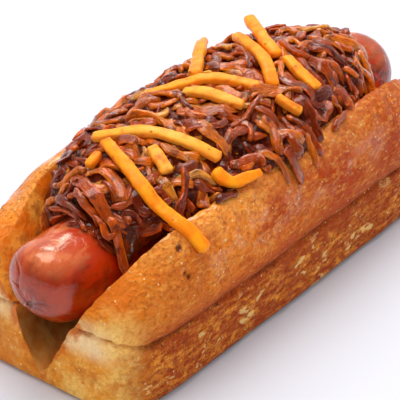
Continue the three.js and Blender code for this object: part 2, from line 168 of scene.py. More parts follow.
world = bpy.data.worlds.new("white_card")
scene.world = world
world.use_nodes = True
sky = world.node_tree
way = put(sky, "TexCoord").outputs["Generated"]
facing_open = put(sky, "VectorMath", [way, Vector(OPEN_WAY).normalized()], operation="DOT_PRODUCT")
reflected = {"From Min": -0.6, "From Max": 0.35, "To Min": CARD_REFLECTED, "To Max": OPEN_REFLECTED}
reflected["Value"] = facing_open.outputs["Value"]
seen_in_gloss = put(sky, "MapRange", reflected, interpolation_type="SMOOTHSTEP").outputs[0]
in_gloss = put(sky, "LightPath").outputs["Is Glossy Ray"]
glow = put(sky, "Mix", {"Factor": in_gloss, "A": CARD_LIGHT, "B": seen_in_gloss})
sky.nodes["Background"].inputs["Color"].default_value = CARD_COLOUR
sky.links.new(glow.outputs[0], sky.nodes["Background"].inputs["Strength"])

# ---- Bun ---------------------------------------------------------------------------------------------
# A soft wheat bun, baked close beside others so that its lower sides are flat and mottled, with a smooth
# glazed top. It is slit from above, from end to end, and stays whole below.

BUN_LENGTH = 144
BUN_WIDTH = 63
BUN_HEIGHT = 44
BASE_WIDTH = 60.6
SEAM_Z = 18
SEAM_WIDTH = 57.4
SEAM_END_DEPTH = 4.6
SEAM_END_RISE = 3.2
LOBE_SAG = 5
LOBE_SAG_SKEW = 0.55
LOBE_SAG_END = 0.2
SLOT_FLOOR_Z = 3.7
SLOT_FLOOR_WIDTH = 1.4
SLOT_HALF_ANGLE = math.radians(29)
SLOT_STEP = 0.9  # how far the walls stand in below the seam
SLOT_STEP_FROM_Z = 12
CRUST_LUMP = 0.45
CRUST_WAVELENGTH = 31
SEAM_TORN = 0.5
# The higher these powers, the nearer to the ends the seam begins to rise and the lobes to sag.
SEAM_RISE_POWER = 12
LOBE_SAG_POWER = 5
LOAF_POINTS = 600  # round each outline
LOAF_SPACING = 0.7  # between outlines
SLOT_RINGS = 180
PAST_BUN = 8  # how far the cutter of the slot stands out at each end

half_length = BUN_LENGTH / 2
half_base = BASE_WIDTH / 2
half_seam = SEAM_WIDTH / 2
half_lobe = BUN_WIDTH / 2
# Level outlines from the table up: height, half length, half width, how square, how far the ends rise.
LOAF_LEVELS = np.array(
    [
        (0, half_length - 2, half_base - 2.6, 8, 0),
        (1.1, half_length - 0.5, half_base - 0.8, 8, 0),
        (3.6, half_length, half_base - 0.1, 8, 0),
        (8.5, half_length, half_base, 8, 0),
        (12.5, half_length - 0.2, half_base - 0.2, 8, 0.3 * SEAM_END_RISE),
        (SEAM_Z - 2.6, half_length - 0.7, half_base - 0.6, 8.5, 0.8 * SEAM_END_RISE),
        (SEAM_Z - 1.0, half_length - 1.1, half_seam + 0.8, 9, 0.95 * SEAM_END_RISE),
        (SEAM_Z - 0.35, half_length - 2.2, half_seam + 0.2, 9, SEAM_END_RISE),
        (SEAM_Z + 0.1, half_length - SEAM_END_DEPTH, half_seam, 9, SEAM_END_RISE),
        (SEAM_Z + 0.3, half_length - SEAM_END_DEPTH, half_seam, 9, SEAM_END_RISE),
        (SEAM_Z + 0.6, half_length - 1.7, half_seam + 0.2, 9, SEAM_END_RISE),
        (SEAM_Z + 1.3, half_length - 0.9, half_lobe - 2.0, 8, 0.95 * SEAM_END_RISE),
        (22.4, half_length - 0.9, half_lobe - 0.8, 6.5, 0.65 * SEAM_END_RISE),
        (27, half_length - 0.8, half_lobe, 5.5, 0.2 * SEAM_END_RISE),
        (32, half_length - 2.4, half_lobe, 4.8, -0.1 * LOBE_SAG),
        (36.6, half_length - 5.2, half_lobe - 0.9, 4.4, -0.35 * LOBE_SAG),
        (40.4, half_length - 8.2, half_lobe - 2.7, 4.2, -0.8 * LOBE_SAG),
        (BUN_HEIGHT - 1.2, half_length - 10.5, half_lobe - 4.8, 4.2, -LOBE_SAG),
        (BUN_HEIGHT, half_length - 12.5, half_lobe - 7.2, 4.2, -LOBE_SAG),
        (BUN_HEIGHT - 0.6, half_length - 14, half_lobe - 9.8, 4.2, -LOBE_SAG),
        (BUN_HEIGHT - 3.6, half_length - 15.5, half_lobe - 13.5, 4.2, -LOBE_SAG),
        (BUN_HEIGHT - 9, half_length - 20, half_lobe - 19, 4.2, -LOBE_SAG),
    ]
)


def unit(vectors):
    """The same directions, each of length 1."""
    return vectors / np.linalg.norm(vectors, axis=-1, keepdims=True)


def lumps(x, y, z, wavelength):
    """Soft lumps: a few crossing waves, between about -1 and 1."""
    k = 2 * math.pi / wavelength
    first = np.sin(k * (x + 0.6 * y) + 1.3) * np.cos(k * (0.8 * y - 0.5 * z) + 0.4)
    second = np.sin(k * (0.55 * x - 0.9 * y + 0.7 * z) + 2.1)
    third = np.cos(k * (0.37 * x + 0.5 * z) - 0.8)
    return 0.45 * first + 0.3 * second + 0.25 * third


def ripples(points, wavelength, seed, waves=16):
    """Uneven relief of about one wavelength in all directions, mostly between -1 and 1."""
    random = np.random.default_rng(seed)
    heading = unit(random.normal(size=(waves, 3)))
    k = 2 * math.pi / (wavelength * random.uniform(0.7, 1.5, waves))
    phase = random.uniform(0, 2 * math.pi, waves)
    return np.cos(points @ (heading * k[:, None]).T + phase).sum(1) / math.sqrt(waves)


def eased(low, high, value):
    """0 below low, 1 above high and a soft step between."""
    share = np.clip((value - low) / (high - low), 0, 1)
    return share * share * (3 - 2 * share)


def curve_through(knots, values, at):
    """Values between knots on a smooth curve that never swings past the values on either side."""
    gaps = np.diff(knots)
    climbs = np.diff(values, axis=0) / gaps[:, None]
    slopes = np.zeros_like(values)
    same_way = climbs[1:] * climbs[:-1] > 0
    both = np.where(same_way, climbs[1:] + climbs[:-1], 1)
    slopes[1:-1] = np.where(same_way, 2 * climbs[1:] * climbs[:-1] / both, 0)
    slopes[0] = climbs[0]
    slopes[-1] = climbs[-1]
    i = np.clip(np.searchsorted(knots, at, side="right") - 1, 0, len(gaps) - 1)
    gap = gaps[i][:, None]
    t = ((at - knots[i])[:, None]) / gap
    start = (1 + 2 * t) * (1 - t) ** 2 * values[i] + t * (1 - t) ** 2 * gap * slopes[i]
    end = t * t * (3 - 2 * t) * values[i + 1] - t * t * (1 - t) * gap * slopes[i + 1]
    return start + end


def squared(wave, exponent):
    """A sine or cosine made blunter, with its sign kept."""
    return np.sign(wave) * np.abs(wave) ** exponent


def even_outline(a, b, power, count):
    """Points spaced evenly round a superellipse."""
    angle = np.linspace(0, 2 * math.pi, 4 * count + 1)
    x = a * squared(np.cos(angle), 2 / power)
    y = b * squared(np.sin(angle), 2 / power)
    along = np.concatenate([[0], np.cumsum(np.hypot(np.diff(x), np.diff(y)))])
    wanted = np.arange(count) * along[-1] / count
    return np.interp(wanted, along, x), np.interp(wanted, along, y)


def skin_over(rings):
    """Points and faces of a closed skin over rings of equally many points, with a face at each end."""
    rows, count = rings.shape[:2]
    row, i = np.meshgrid(np.arange(rows - 1), np.arange(count), indexing="ij")
    a = row * count + i
    b = row * count + (i + 1) % count
    quads = np.stack([a, b, b + count, a + count], -1).reshape(-1, 4).tolist()
    ends = [list(range(count))[::-1], list(range((rows - 1) * count, rows * count))]
    return rings.reshape(-1, 3), quads + ends


def new_piece(name, points_mm, faces):
    """A smooth-shaded object from points in millimetres."""
    mesh = bpy.data.meshes.new(name)
    mesh.from_pydata((np.asarray(points_mm) * MM).tolist(), [], faces)
    mesh.validate()
    mesh.shade_smooth()
    piece = bpy.data.objects.new(name, mesh)
    scene.collection.objects.link(piece)
    return piece


def far_along(points):
    """How far along a line each of its points is."""
    return np.concatenate([[0], np.cumsum(np.linalg.norm(np.diff(points, axis=0), axis=1))])


def loaf_rings(around, spacing):
    """Level outlines of the loaf, with its ends risen or sunk, its soft lumps and the torn seam."""
    knots = far_along(LOAF_LEVELS[:, :3])
    at = np.linspace(0, knots[-1], int(knots[-1] / spacing))
    rings = []
    for z, a, b, power, rise in curve_through(knots, LOAF_LEVELS, at):
        x, y = even_outline(a, b, power, around)
        across = y / b
        out = np.abs(x) / a
        climb = (1 - 0.5 * across) * out**SEAM_RISE_POWER
        sag = (1 + LOBE_SAG_SKEW * across) * (1 - LOBE_SAG_END * np.sign(x)) * out**LOBE_SAG_POWER
        lift = rise * np.where(rise > 0, climb, sag)
        lump = CRUST_LUMP * lumps(x, y, z, CRUST_WAVELENGTH) * min(z, 1)
        outward = unit(np.stack([x / a**1.6, y / b**1.6], 1))
        torn = SEAM_TORN * math.exp(-(((z - SEAM_Z) / 2.5) ** 2)) * eased(0.8, 0.97, out)
        level = np.full(around, z) + lift + 0.5 * lump
        flat = np.stack([x, y, 0 * y], 1)
        level += torn * (ripples(flat, 6, 21) + 0.3 * ripples(flat, 1.7, 22))
        rings.append(np.stack([x + lump * outward[:, 0], y + lump * outward[:, 1], level], 1))
    return np.array(rings)


def slot_rings(rows):
    """The V cut, its walls as rough as torn crumb."""
    reach = half_length + PAST_BUN
    step_z = SEAM_Z + SEAM_END_RISE
    below = np.linspace(SLOT_FLOOR_Z, step_z - 0.3, 26)
    above = np.linspace(step_z + 0.5, BUN_HEIGHT + 12, 46)
    z = np.concatenate([below, above])
    half = SLOT_FLOOR_WIDTH / 2 + (z - SLOT_FLOOR_Z) * math.tan(SLOT_HALF_ANGLE)
    stepped_in = SLOT_STEP * np.clip((z - SLOT_STEP_FROM_Z) / (step_z - SLOT_STEP_FROM_Z), 0, 1)
    half -= np.where(z < step_z, stepped_in, 0)
    rings = []
    for x in np.linspace(-reach, reach, rows):
        walls = []
        for side in (1, -1):
            wave = 0.008 * (z - SLOT_FLOOR_Z) * lumps(x, 9 * side, 0, 24)
            wall = np.stack([np.full_like(z, x), side * np.maximum(half + wave, 0.3), z], 1)
            torn = 0.16 * ripples(wall, 2.6, 5) + 0.12 * ripples(wall, 6.5, 6)
            wall[:, 1] += side * torn * np.clip((z - SLOT_FLOOR_Z) / 6, 0, 1)
            walls.append(wall if side > 0 else wall[::-1])
        rings.append(np.concatenate(walls))
    return np.array(rings)


bun = new_piece("bun_crust", *skin_over(loaf_rings(LOAF_POINTS, LOAF_SPACING)))
slot = new_piece("slot_cutter", *skin_over(slot_rings(SLOT_RINGS)))

# Pits and small blisters in the skin: where, half width, and depth, which is less than 0 for a blister.
CRUST_PITS = [
    ((-47.2, -26.2, 40.5), 1.1, 1.1),
    ((-48.6, -29.3, 34.9), 0.8, 0.8),
    ((-47.9, -29.9, 33.6), 0.9, 0.9),
    ((-50.5, -27.6, 38.4), 0.7, 0.5),
    ((-52.3, -25.8, 40.6), 0.8, -0.4),
    ((-18.5, -26.6, 42.5), 1.9, -0.7),
    ((-22.5, -28.3, 40.6), 1.2, -0.4),
    ((-30.5, -25.5, 43.0), 1.3, -0.4),
    ((-36.0, -27.8, 39.5), 0.7, 0.5),
    ((-69.0, -18.4, 19.2), 0.6, 0.6),
    ((-66.1, -26.4, 16.7), 0.6, 0.6),
    ((-67.0, -27.0, 8.6), 0.7, 0.6),
    ((26.0, -28.0, 40.0), 0.9, 0.7),
    ((52.0, -26.0, 41.0), 1.1, 0.8),
    ((-52.0, 27.0, 40.5), 1.1, 0.8),
    ((12.0, 29.5, 36.0), 0.9, 0.7),
    ((33.0, 27.5, 41.0), 1.6, -0.5),
    ((70.5, 20.0, 30.0), 0.8, 0.7),
]


def stepped(value, low, high, start=0.0, end=1.0):
    """start below low, end above high, and a soft step between."""
    inputs = {"Value": value, "From Min": low, "From Max": high, "To Min": start, "To Max": end}
    return put(value.id_data, "MapRange", inputs, interpolation_type="SMOOTHSTEP").outputs[0]


def maths(operation, *values):
    """Works out a sum in the node tree that its values come from."""
    tree = next(value.id_data for value in values if isinstance(value, bpy.types.NodeSocket))
    return put(tree, "Math", values, operation=operation).outputs[0]


def times(*values):
    """Some values multiplied."""
    product = values[0]
    for value in values[1:]:
        product = maths("MULTIPLY", product, value)
    return product


def scaled(value, factor, start):
    """A value times a factor, plus a start."""
    return maths("MULTIPLY_ADD", value, factor, start)


def laid(share, under, over, amount=1.0):
    """One colour laid on another, by a share of an amount. A colour is a node's output or screen values."""
    if amount != 1:
        share = times(share, amount)
    under, over = (tone(*colour) if isinstance(colour, tuple) else colour for colour in (under, over))
    return put(share.id_data, "Mix", {0: share, 6: under, 7: over}, data_type="RGBA").outputs[2]


def painted(ground, *coats):
    """A colour with coats laid on it in turn: the share that each covers, its colour and its strength."""
    for share, colour, amount in coats:
        ground = laid(share, ground, colour, amount)
    return ground


def place_on(tree):
    """Where a point lies on the piece, as a vector and along, across and up."""
    where = put(tree, "TexCoord").outputs["Object"]
    return where, *put(tree, "SeparateXYZ", [where]).outputs


def point_value(tree, name, kind="Fac"):
    """A value that the points of the mesh carry."""
    return put(tree, "Attribute", attribute_name=name).outputs[kind]


def raised(height, strength, distance):
    """The way the surface faces with a relief on it."""
    inputs = {"Height": height, "Strength": strength, "Distance": distance}
    return put(height.id_data, "Bump", inputs).outputs[0]


def new_group(name, inputs, output):
    """A shader node group with named inputs and one output, and its two end nodes."""
    group = bpy.data.node_groups.new(name, "ShaderNodeTree")
    for label, kind, value in inputs:
        socket = group.interface.new_socket(label, in_out="INPUT", socket_type="NodeSocket" + kind)
        socket.default_value = value
    group.interface.new_socket(output, in_out="OUTPUT", socket_type="NodeSocketFloat")
    given = group.nodes.new("NodeGroupInput").outputs
    return group, given, group.nodes.new("NodeGroupOutput").inputs[output]


def uneven_grain(group, given, noise_type="FBM", **settings):
    """Noise with swellings of about the group's own size, wider where it is stretched."""
    place = put(group, "VectorMath", [given["Place"], given["Stretch"]], operation="DIVIDE").outputs[0]
    inputs = {"Vector": place, "Scale": maths("DIVIDE", 1.0, given["Size"])}
    inputs.update({name.capitalize(): value for name, value in settings.items()})
    return put(group, "TexNoise", inputs, noise_type=noise_type).outputs[0]


PLACE = ("Place", "Vector", (0, 0, 0))
GRAIN = [PLACE, ("Stretch", "Vector", (1, 1, 1)), ("Size", "Float", 0.01)]

# Soft-edged uneven patches of about one size.
STEP = [("Low", "Float", 0.45), ("High", "Float", 0.6)]
patches, given, mask = new_group("patches", [*GRAIN, *STEP], "Mask")
grain = uneven_grain(patches, given, detail=3.0, roughness=0.6)
patches.links.new(stepped(grain, given["Low"], given["High"]), mask)

# Small round specks, in a share of the places where one could be.
SPECK = [("Spacing", "Float", 0.004), ("Width", "Float", 0.25), ("Share", "Float", 0.3)]
specks, given, mask = new_group("specks", [PLACE, *SPECK], "Mask")
closeness = maths("DIVIDE", 1.0, given["Spacing"])
cells = put(specks, "TexVoronoi", {"Vector": given["Place"], "Scale": closeness}).outputs
dot = stepped(cells["Distance"], times(given["Width"], 0.5), given["Width"], 1.0, 0.0)
chance = put(specks, "SeparateXYZ", [cells["Color"]]).outputs[0]
specks.links.new(times(dot, maths("LESS_THAN", chance, given["Share"])), mask)

# Fine crinkles and grains for a bump.
crinkles, given, height = new_group("crinkles", [*GRAIN, ("Sharpness", "Float", 0.5)], "Height")
grain = uneven_grain(crinkles, given, detail=4.0, roughness=given["Sharpness"], distortion=0.6)
crinkles.links.new(grain, height)

# Raised creases of several sizes that cross each other, as on a skin that has shrunk. Mostly 0.15 to 0.85.
creases, given, height = new_group("creases", [*GRAIN, ("Detail", "Float", 3.0)], "Height")
settings = {"detail": given["Detail"], "roughness": 0.62, "offset": 0.8, "gain": 1.0, "distortion": 0.5}
creases.links.new(uneven_grain(creases, given, "RIDGED_MULTIFRACTAL", **settings), height)


def grouped(group, where, **values):
    """What a group gives when it is placed in a material with its own values."""
    inputs = {name.capitalize(): value for name, value in values.items()}
    return put(where.id_data, "Group", {"Place": where, **inputs}, node_tree=group).outputs[0]


def glazed_top(where, x, z, leather, worn, mottle):
    """Orange, golden in places, redder lower down and towards the far end, with painted highlight over the
    ridge and on the raised creases.
    """
    broad = grouped(patches, where, size=0.018, low=0.42, high=0.6)
    flecks = grouped(patches, where, size=0.0012, stretch=(2.2, 1, 1), low=0.5, high=0.66)
    return painted(
        laid(broad, (192, 64, 0), (238, 126, 14)),
        (grouped(patches, where, size=0.005, low=0.46, high=0.62), (184, 58, 0), 0.6),
        (stepped(z, 0.021, 0.034, 1.0, 0.0), (214, 88, 8), 0.6),
        # Painted highlight: paler over the top ridge.
        (stepped(z, 0.036, 0.043), (250, 178, 88), 0.4),
        # Painted highlight on the raised creases.
        (times(stepped(leather, 0.5, 0.8), scaled(worn, 0.8, 0.2)), (255, 190, 90), 0.36),
        (stepped(leather, 0.1, 0.5, 1.0, 0.0), (160, 60, 4), 0.12),
        (stepped(x, -0.02, 0.045), (178, 56, 0), 0.6),
        (stepped(x, -0.05, -0.025, 1.0, 0.0), (248, 160, 56), 0.35),
        (mottle, (148, 50, 2), 0.42),
        (flecks, (255, 180, 80), 0.36),
    )


def flat_side(where, z, small, thick):
    """Reddish brown, streaked and flecked with gold, with a few pale places, and painted shade along the
    foot by the table.
    """
    streaks = grouped(patches, where, size=0.0013, stretch=(2.6, 1, 1), low=0.36, high=0.66)
    bare = grouped(patches, where, size=0.004, stretch=(2.0, 1, 1), low=0.59, high=0.65)
    return painted(
        laid(times(streaks, scaled(thick, 0.7, 0.3)), (172, 60, 6), (244, 154, 52)),
        (stepped(small, 0.15, 0.45, 1.0, 0.0), (92, 30, 8), 0.45),
        (bare, (242, 198, 124), 0.85),
        # Painted shade: darker at the foot, by the table.
        (stepped(z, 0.0004, 0.0022, 1.0, 0.0), (104, 42, 12), 0.7),
    )


def with_seam(skin, where, z, side, small, wavering):
    """A reddish-brown band along each side, with painted shade in its groove and in a row of small pits."""
    band = times(stepped(z, 0.013, 0.0175), stepped(z, 0.0195, 0.0255, 1.0, 0.0), side)
    band = times(band, stepped(small, 0.3, 0.75, 1.0, 0.35))
    height = maths("SUBTRACT", scaled(wavering, 0.0007, z), (SEAM_Z + 0.6) * MM)
    groove = times(stepped(maths("ABSOLUTE", height), 0.0002, 0.0013, 1.0, 0.0), side)
    shaded_pits = grouped(specks, where, spacing=0.0017, width=0.36, share=0.45)
    return painted(
        skin,
        (band, (172, 66, 20), 0.8),
        # Painted shade in the groove.
        (groove, (112, 36, 12), 0.7),
        # Painted shade: a row of small dark pits in the band.
        (times(shaded_pits, band), (88, 26, 8), 0.8),
    )


def loaf_end(where, y, z, mottle, wavering):
    """Pale gold with brown blotches and baked edges, cream beside the crack and brown beside the slot."""
    cloud = grouped(patches, where, size=0.01, low=0.42, high=0.6)
    from_middle = maths("ABSOLUTE", y)
    crack = times(stepped(z, 0.0135, 0.0185), stepped(z, 0.0225, 0.0285, 1.0, 0.0))
    crack = times(crack, scaled(cloud, 0.45, 0.55), stepped(from_middle, 0.018, 0.0265, 1.0, 0.1))
    # The slot is a V: its half width grows with height.
    slot_half = scaled(z, math.tan(SLOT_HALF_ANGLE), -0.0014)
    lip = scaled(wavering, 0.003, maths("SUBTRACT", from_middle, slot_half))
    return painted(
        laid(cloud, (252, 196, 100), (238, 150, 46)),
        (grouped(patches, where, size=0.0065, low=0.5, high=0.66), (206, 112, 30), 0.75),
        (mottle, (206, 124, 42), 0.4),
        (stepped(z, 0.0245, 0.034), (218, 100, 6), 0.9),
        (crack, (255, 222, 168), 0.85),
        (times(stepped(y, 0.002, 0.012), stepped(z, 0.012, 0.018, 1.0, 0.2)), (216, 110, 26), 0.6),
        (stepped(lip, -0.0005, 0.003, 1.0, 0.0), (212, 104, 22), 0.85),
    )


def crust_look(tree):
    """A glazed top over flat mottled sides, with the seam between them, and paler ends, painted glints in
    pale specks and blisters, and painted shade in the pits.
    """
    where, x, y, z = place_on(tree)
    near_tip = stepped(maths("ABSOLUTE", x), 0.057, 0.066)
    end = times(near_tip, stepped(maths("ABSOLUTE", y), 0.0225, 0.0295, 1.0, 0.25))
    side = maths("SUBTRACT", 1.0, end)
    leather = grouped(creases, where, size=0.0021, detail=1.0)
    small = grouped(creases, where, size=0.0009, detail=1.5)
    worn = grouped(patches, where, size=0.009, low=0.46, high=0.6)
    mottle = grouped(patches, where, size=0.0011, low=0.48, high=0.64)
    thick = grouped(patches, where, size=0.006, stretch=(1.7, 1, 1), low=0.4, high=0.62)
    wavering = maths("SUBTRACT", thick, 0.5)
    top = glazed_top(where, x, z, leather, worn, mottle)
    skin = laid(stepped(z, 0.0165, 0.0225), flat_side(where, z, small, thick), top)
    skin = with_seam(skin, where, z, side, small, wavering)
    skin = laid(end, skin, loaf_end(where, y, z, mottle, wavering))
    # Butter on the top makes it shine. The blisters stand out most there: pale specks whose paleness is a
    # painted glint, also raised in the bump.
    buttered = times(worn, stepped(z, 0.026, 0.037), stepped(x, 0.02, 0.05, 1.0, 0.3))
    glinting_blisters = grouped(specks, where, spacing=0.0014, width=0.34, share=0.3)
    glinting_blisters = times(glinting_blisters, scaled(buttered, 0.85, 0.15))
    skin = painted(
        skin,
        # Painted glints: tiny pale specks all over.
        (grouped(specks, where, spacing=0.0019, width=0.17, share=0.2), (255, 228, 170), 0.75),
        # Painted glints on the blisters.
        (glinting_blisters, (255, 214, 140), 0.75),
        # Painted shade in the dented pits.
        (stepped(point_value(tree, "pitted"), 0.12, 0.6), (92, 30, 8), 0.85),
    )
    grit = grouped(crinkles, where, size=0.0016, sharpness=0.6)
    relief = scaled(glinting_blisters, 0.25, scaled(leather, 0.4, grit))
    return {
        "Base Color": skin,
        "Roughness": scaled(buttered, -0.18, stepped(z, 0.028, 0.04, 0.6, 0.4)),
        "Normal": raised(relief, 1.0, 0.0008),
        "Specular IOR Level": 0.24,
        "Specular Tint": (1.0, 0.66, 0.28, 1.0),
        "Coat Weight": times(buttered, 0.9),
        "Coat Roughness": 0.09,
    }


def crumb_look(tree):
    """Soft crumb low in the slot, with painted shade beside the sausage, and toasted walls above it."""
    where, _, y, z = place_on(tree)
    patch = grouped(patches, where, size=0.006, low=0.4, high=0.62)
    # Painted shade: the crumb darkens higher up beside the sausage, most on the -Y wall.
    shaded = times(stepped(z, 0.0035, 0.013), stepped(y, -0.004, 0.004, 1.0, 0.65))
    crumb = laid(shaded, laid(patch, (232, 146, 58), (248, 180, 92)), (92, 26, 2))
    # Above the sausage the walls are toasted like the crust, with a faint painted highlight on the raised
    # creases.
    broad = grouped(patches, where, size=0.009, low=0.42, high=0.6)
    leather = grouped(creases, where, size=0.0026, detail=2.5)
    toasted = painted(
        laid(broad, (228, 110, 16), (255, 166, 62)),
        (grouped(patches, where, size=0.0045, low=0.5, high=0.62), (178, 74, 8), 0.6),
        # Painted highlight on the raised creases.
        (stepped(leather, 0.4, 0.9), (255, 204, 124), 0.08),
    )
    height = times(leather, stepped(z, 0.0175, 0.022, 0.4, 0.7))
    return {
        "Base Color": laid(stepped(z, 0.0175, 0.022), crumb, toasted),
        "Roughness": 0.45,
        "Normal": raised(height, 0.45, 0.0004),
        "Specular IOR Level": 0.3,
        "Specular Tint": (1.0, 0.74, 0.48, 1.0),
    }


crust = finish_with("baked_crust", crust_look)
crumb = finish_with("bread_crumb", crumb_look)
for piece in (bun, slot):
    piece.data.materials.append(crust)
    piece.data.materials.append(crumb)
CRUMB_INDEX = 1
slot.data.polygons.foreach_set("material_index", [CRUMB_INDEX] * len(slot.data.polygons))
cut = bun.modifiers.new("slot", "BOOLEAN")
cut.operation = "DIFFERENCE"
cut.solver = "EXACT"
cut.object = slot
shapes = bpy.context.evaluated_depsgraph_get()
cut_mesh = bpy.data.meshes.new_from_object(bun.evaluated_get(shapes))
# Corners on the edge of the cut that join only two edges are left out: they would become folded slivers.
mended = bmesh.new()
mended.from_mesh(cut_mesh)
loose_corners = [corner for corner in mended.verts if len(corner.link_edges) == 2]
bmesh.ops.dissolve_verts(mended, verts=loose_corners)
mended.to_mesh(cut_mesh)
mended.free()
bun.modifiers.clear()
bun.data = cut_mesh
bpy.data.objects.remove(slot)


def points_of(mesh):
    """The corner points of a mesh, in millimetres, and which way the surface faces at each."""
    points = np.empty(3 * len(mesh.vertices))
    mesh.vertices.foreach_get("co", points)
    facing = np.empty(3 * len(mesh.vertices))
    mesh.vertices.foreach_get("normal", facing)
    return points.reshape(-1, 3) / MM, facing.reshape(-1, 3)


points, facing = points_of(bun.data)
on_crust = np.ones(len(points), bool)
for polygon in bun.data.polygons:
    if polygon.material_index == CRUMB_INDEX:
        on_crust[list(polygon.vertices)] = False
# The crust swells and dips all over, is knobbly in places on the top and flaky on the flat lower sides.
relief = 0.16 * ripples(points, 13, 31) + 0.06 * ripples(points, 4.5, 32)
relief += 0.02 * ripples(points, 1.9, 33, 24)
knobbly = eased(27, 38, points[:, 2]) * eased(-0.5, 0.7, ripples(points, 24, 36))
relief += knobbly * (0.13 * ripples(points, 3.6, 37, 24) + 0.08 * ripples(points, 2.0, 38, 24))
flaky = 1 - eased(14.5, 17.5, points[:, 2])
flakes = 0.13 * ripples(points * [0.55, 1, 1], 3.2, 34, 24)
relief += flaky * (flakes + 0.07 * ripples(points * [0.7, 1, 1], 1.8, 35, 24))
pitted = np.zeros(len(points))
for middle, half_width, depth in CRUST_PITS:
    hollow = depth * np.exp(-1.4 * (np.linalg.norm(points - middle, axis=1) / half_width) ** 2)
    relief -= hollow
    pitted = np.maximum(pitted, hollow)
relief *= on_crust * eased(0.4, 3, points[:, 2])
# How deep each pit is, which the look turns into painted shade.
bun.data.attributes.new("pitted", "FLOAT", "POINT").data.foreach_set("value", pitted)
bun.data.vertices.foreach_set("co", ((points + relief[:, None] * facing) * MM).ravel())
bun.data.update()
bun.data.shade_smooth()
bun.data.set_sharp_from_angle(angle=math.radians(50))
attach(bun, "root")
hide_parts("bun")

# ---- Sausage -----------------------------------------------------------------------------------------
# A cooked frankfurter: smooth, moist, reddish-brown casing over fine meat, drawn together in small pleats
# round a knot at one tip.

SAUSAGE_DIAMETER = 24.2
SAUSAGE_LENGTH = 153
SAUSAGE_AXIS_Z = 30.2
SAUSAGE_TILT = 1
TIP_LENGTH = 13.5
TIP_POWER = 2.35
TIP_FLAT = 0.04
TIP_RISE = 3
TIP_RINGS = 52
BODY_RINGS = 110
SAUSAGE_POINTS = 240  # round each ring
KNOT_ACROSS = -0.4
KNOT_Z = 27.6
# The pleats that run far from the knot: the way they run, in degrees up from +Y, their length and depth.
LONG_PLEATS = [
    (57, 15, 0.34),
    (47, 11, 0.28),
    (152, 9, 0.36),
    (20, 8, 0.24),
    (196, 7, 0.26),
    (104, 6, 0.28),
]
SHORT_PLEATS = 24
SHORT_PLEAT_SPANS = ((0, 360), (1.8, 5), (0.1, 0.22))


def sausage_rings(around):
    """Rings along the sausage, with blunt tips, of which the pleated one is a little raised."""
    half = SAUSAGE_LENGTH / 2
    tip = TIP_FLAT + (TIP_LENGTH - TIP_FLAT) * np.linspace(0, 1, TIP_RINGS) ** 2
    body = np.linspace(TIP_LENGTH - half, half - TIP_LENGTH, BODY_RINGS)[1:-1]
    stations = np.concatenate([tip - half, body, half - tip[::-1]])
    angle = np.arange(around) * 2 * math.pi / around
    across = np.cos(angle)
    upwards = np.sin(angle)
    rings = []
    for x in stations:
        from_tip = half - abs(x)
        left = max(1 - from_tip / TIP_LENGTH, 0)
        radius = SAUSAGE_DIAMETER / 2 * (1 - left**TIP_POWER) ** (1 / TIP_POWER)
        knot = TIP_RISE * (1 - eased(0, TIP_LENGTH, from_tip)) if x < 0 else 0
        ring = np.stack([np.full(around, x), radius * across, radius * upwards], 1)
        swell = 0.12 * (lumps(*ring.T, 40) - 1) + 0.05 * ripples(ring, 9, 41)
        r = radius + swell * min(radius / 2, 1)
        axis_z = SAUSAGE_AXIS_Z + SAUSAGE_TILT * x / half
        rings.append(np.stack([np.full(around, x), r * across, axis_z + knot + r * upwards], 1))
    return np.array(rings)


def pleats_on(points):
    """How deep the skin is drawn in at each point round the knot, in the middle of the -X tip."""
    across = points[:, 1] - KNOT_ACROSS
    up = points[:, 2] - KNOT_Z
    away = np.hypot(across, up)
    heading = np.arctan2(up, across)
    random = np.random.default_rng(44)
    short = [[random.uniform(*span) for span in SHORT_PLEAT_SPANS] for _ in range(SHORT_PLEATS)]
    depth = 0.8 * np.exp(-((away / 0.75) ** 2)) - 0.14 * np.exp(-(((away - 1.6) / 0.6) ** 2))
    for degrees, length, deepest in LONG_PLEATS + short:
        turned = heading - math.radians(degrees) + 0.25 * np.sin(0.45 * away + degrees)
        inside = np.cos(turned) > 0
        line = np.exp(-((away * np.sin(turned) / (0.26 + 0.02 * away)) ** 2))
        depth += deepest * line * inside * eased(0.3, 1.1, away) * (1 - eased(0.4 * length, length, away))
    return np.where(points[:, 0] < TIP_LENGTH - SAUSAGE_LENGTH / 2, depth, 0)


